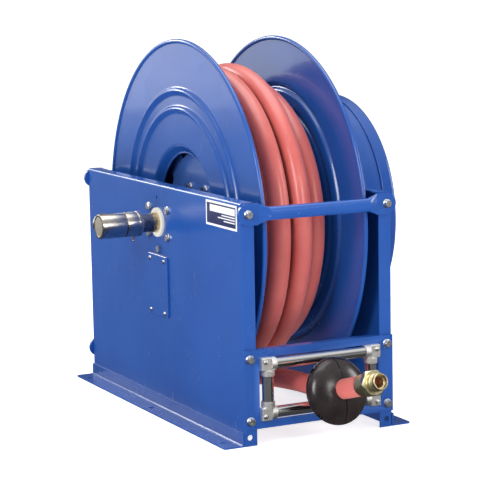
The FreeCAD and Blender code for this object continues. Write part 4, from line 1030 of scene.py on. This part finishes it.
def makeLabel():
    low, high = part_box("label_plate")
    work = bmesh.new()
    boxWork(work, low, high)
    addPiece("labelPlate", meshFrom(work, "labelPlate"), "white", "frame", "label_film", ("label_plate",))
    m = label
    work = bmesh.new()
    face = low.x
    boxWork(work, Vector((face - m["rise"] / 2, low.y + m["border"], low.z + m["border"])),
            Vector((face + m["rise"], high.y - m["border"], high.z - m["border"])))
    addPiece("labelField", meshFrom(work, "labelField"), "navy", "frame", "label_film")
    work = bmesh.new()
    z = high.z - m["border"] - m["gap"]
    for tall, wide in m["bars"]:
        boxWork(work, Vector((face - m["rise"], low.y + m["border"] + m["gap"], z - tall)),
                Vector((face + m["rise"], low.y + m["border"] + m["gap"] + wide, z)))
        z -= tall + m["gap"]
    addPiece("labelBars", meshFrom(work, "labelBars"), "white", "frame", "label_film")


makeLabel()

softNodes = (  # sub-parts, their finish and body, and the width of the softened edge
    (("left_side_panel", "right_side_panel", "left_foot", "right_foot"), "blue", "frame", 0.0006),
    (("guide_plate",), "blue", "frame", 0.0011),
    (("access_plate", "left_bearing_plate", "right_bearing_plate"), "blue", "frame", 0.0005),
    (("front_top_bar", "rear_top_bar", "rear_bottom_bar"), "blue", "frame", 0.0006),
    (("left_hub_plate", "right_hub_plate"), "blue", "spool", 0.0005),
    (("roller_block_upper_left", "roller_block_upper_right", "roller_block_lower_left",
      "roller_block_lower_right"), "cast", "frame", 0.0012),
)
slotOf = {item["node"]: item["material_slot"] for item in frame["record"]["subparts"]}


def makeSoftened():
    for nodes, material, body, width in softNodes:
        for node in nodes:
            name = node[0] + node.title().replace("_", "")[1:]
            addPiece(name, softenedCopy(node, width), material, body, slotOf[node], (node,))


makeSoftened()
print("pressed and cut pieces softened")

nodeFinish = {"blue_powder_coat": "blue", "zinc_plate": "zinc", "polished_steel": "steel",
              "cast_alloy": "cast", "white_nylon": "nylon", "brass": "brass", "turned_brass": "axle",
              "plain_steel": "iron", "spring_steel": "spring", "nickel_plate": "nickel",
              "black_seal": "seal", "label_film": "white", "red_hose": "hose", "black_ball": "ball"}


def finishNodes():
    finishes = {name: nodeFinish[slotOf[name]] for name in frame["nodes"]}
    finishes["swivel_stem"] = "spring"  # given the dark spring finish, darker than the body round it
    pairs = [(piece, finishes[name]) for name, piece in frame["nodes"].items()]
    for piece, finish in pairs + [(woundHose, "hose"), (hoseEnd, "hose")]:
        piece.data.materials.clear()
        piece.data.materials.append(materials[finish])


finishNodes()


studio = {
    "floor": 120.0, "floorGlow": 0.72, "floorColour": (0.60, 0.60, 0.605), "floorTop": grey(0.88),
    "seen": (0.96, 0.965, 0.97),
    "sky": ((0.0, grey(0.05)), (0.36, grey(0.06)), (0.44, grey(0.24)), (0.52, grey(0.24)),
            (0.60, grey(0.10)), (0.72, grey(0.16)), (0.84, grey(0.70)), (1.0, grey(0.80))),
    "boxes": {  # place, aim, width, height and power of each soft light
        "topBox": ((-0.2, 0.2, 2.7), (0, 0, 0.2), 2.2, 2.2, 42),
        "keyBox": ((-2.6, -1.9, 1.7), (0, 0, 0.35), 0.7, 1.6, 52),
        "frontBox": ((0.6, -3.6, 1.5), (0, -0.2, 0.3), 0.8, 1.4, 32),
        "sideBox": ((2.8, -1.2, 1.2), (0.2, 0, 0.4), 0.7, 1.5, 30),
        "rearBox": ((-1.35, 2.6, 1.15), (0, 0, 0.5), 2.0, 1.6, 16),
        "edgeBox": ((-1.0, 2.9, 1.75), (0, 0, 0.45), 0.8, 0.7, 24),
    },
}


def softBox(name, spot, aim, wide, tall, power):
    data = bpy.data.lights.new(name, "AREA")
    data.shape = "RECTANGLE"
    data.size = wide
    data.size_y = tall
    data.energy = power
    lamp = sceneObject(name, data)
    lamp.location = spot
    lamp.rotation_euler = (Vector(aim) - Vector(spot)).to_track_quat("-Z", "Y").to_euler()


def makeSky():
    world = bpy.data.worlds.new("studio")
    world.use_nodes = True
    tree = world.node_tree
    sky = tree.nodes["Background"]
    place = addNode(tree, "ShaderNodeTexCoord")
    split = addNode(tree, "ShaderNodeSeparateXYZ")
    tree.links.new(place.outputs["Generated"], split.inputs[0])
    height = rangeOf(tree, split.outputs["Z"], -1.0, 1.0, 0.0, 1.0)
    glow = rampOf(tree, height, studio["sky"])  # dark below and low down, bright overhead
    ray = addNode(tree, "ShaderNodeLightPath")
    colour = mixColour(tree, ray.outputs["Is Camera Ray"], glow, studio["seen"])
    tree.links.new(colour, sky.inputs["Color"])
    bpy.context.scene.world = world


def makeFloor():
    mesh = bpy.data.meshes.new("floor")
    half = studio["floor"] / 2
    corners = [(-half, -half, 0), (half, -half, 0), (half, half, 0), (-half, half, 0)]
    mesh.from_pydata(corners, [], [(0, 1, 2, 3)])
    floor = sceneObject("floor", mesh)
    floor.location.z = -0.0005
    floor.visible_glossy = False  # polished metal would mirror it as one white sheet
    material, tree, shader = newMaterial("studioFloor")
    tone = noiseOf(tree, objectPoint(tree), 3.0)
    colour = rampOf(tree, tone, ((0.3, studio["floorColour"]), (0.7, studio["floorTop"])))
    tree.links.new(colour, shader.inputs["Base Color"])
    shader.inputs["Roughness"].default_value = 0.7
    shader.inputs["Emission Color"].default_value = (1, 1, 1, 1)
    shader.inputs["Emission Strength"].default_value = studio["floorGlow"]  # a sheet lit evenly from below
    mesh.materials.append(material)


def makeStudio():
    makeFloor()
    makeSky()
    for name, values in studio["boxes"].items():
        softBox(name, *values)
    bpy.context.scene.view_settings.view_transform = "Standard"


makeStudio()
print("studio lit")
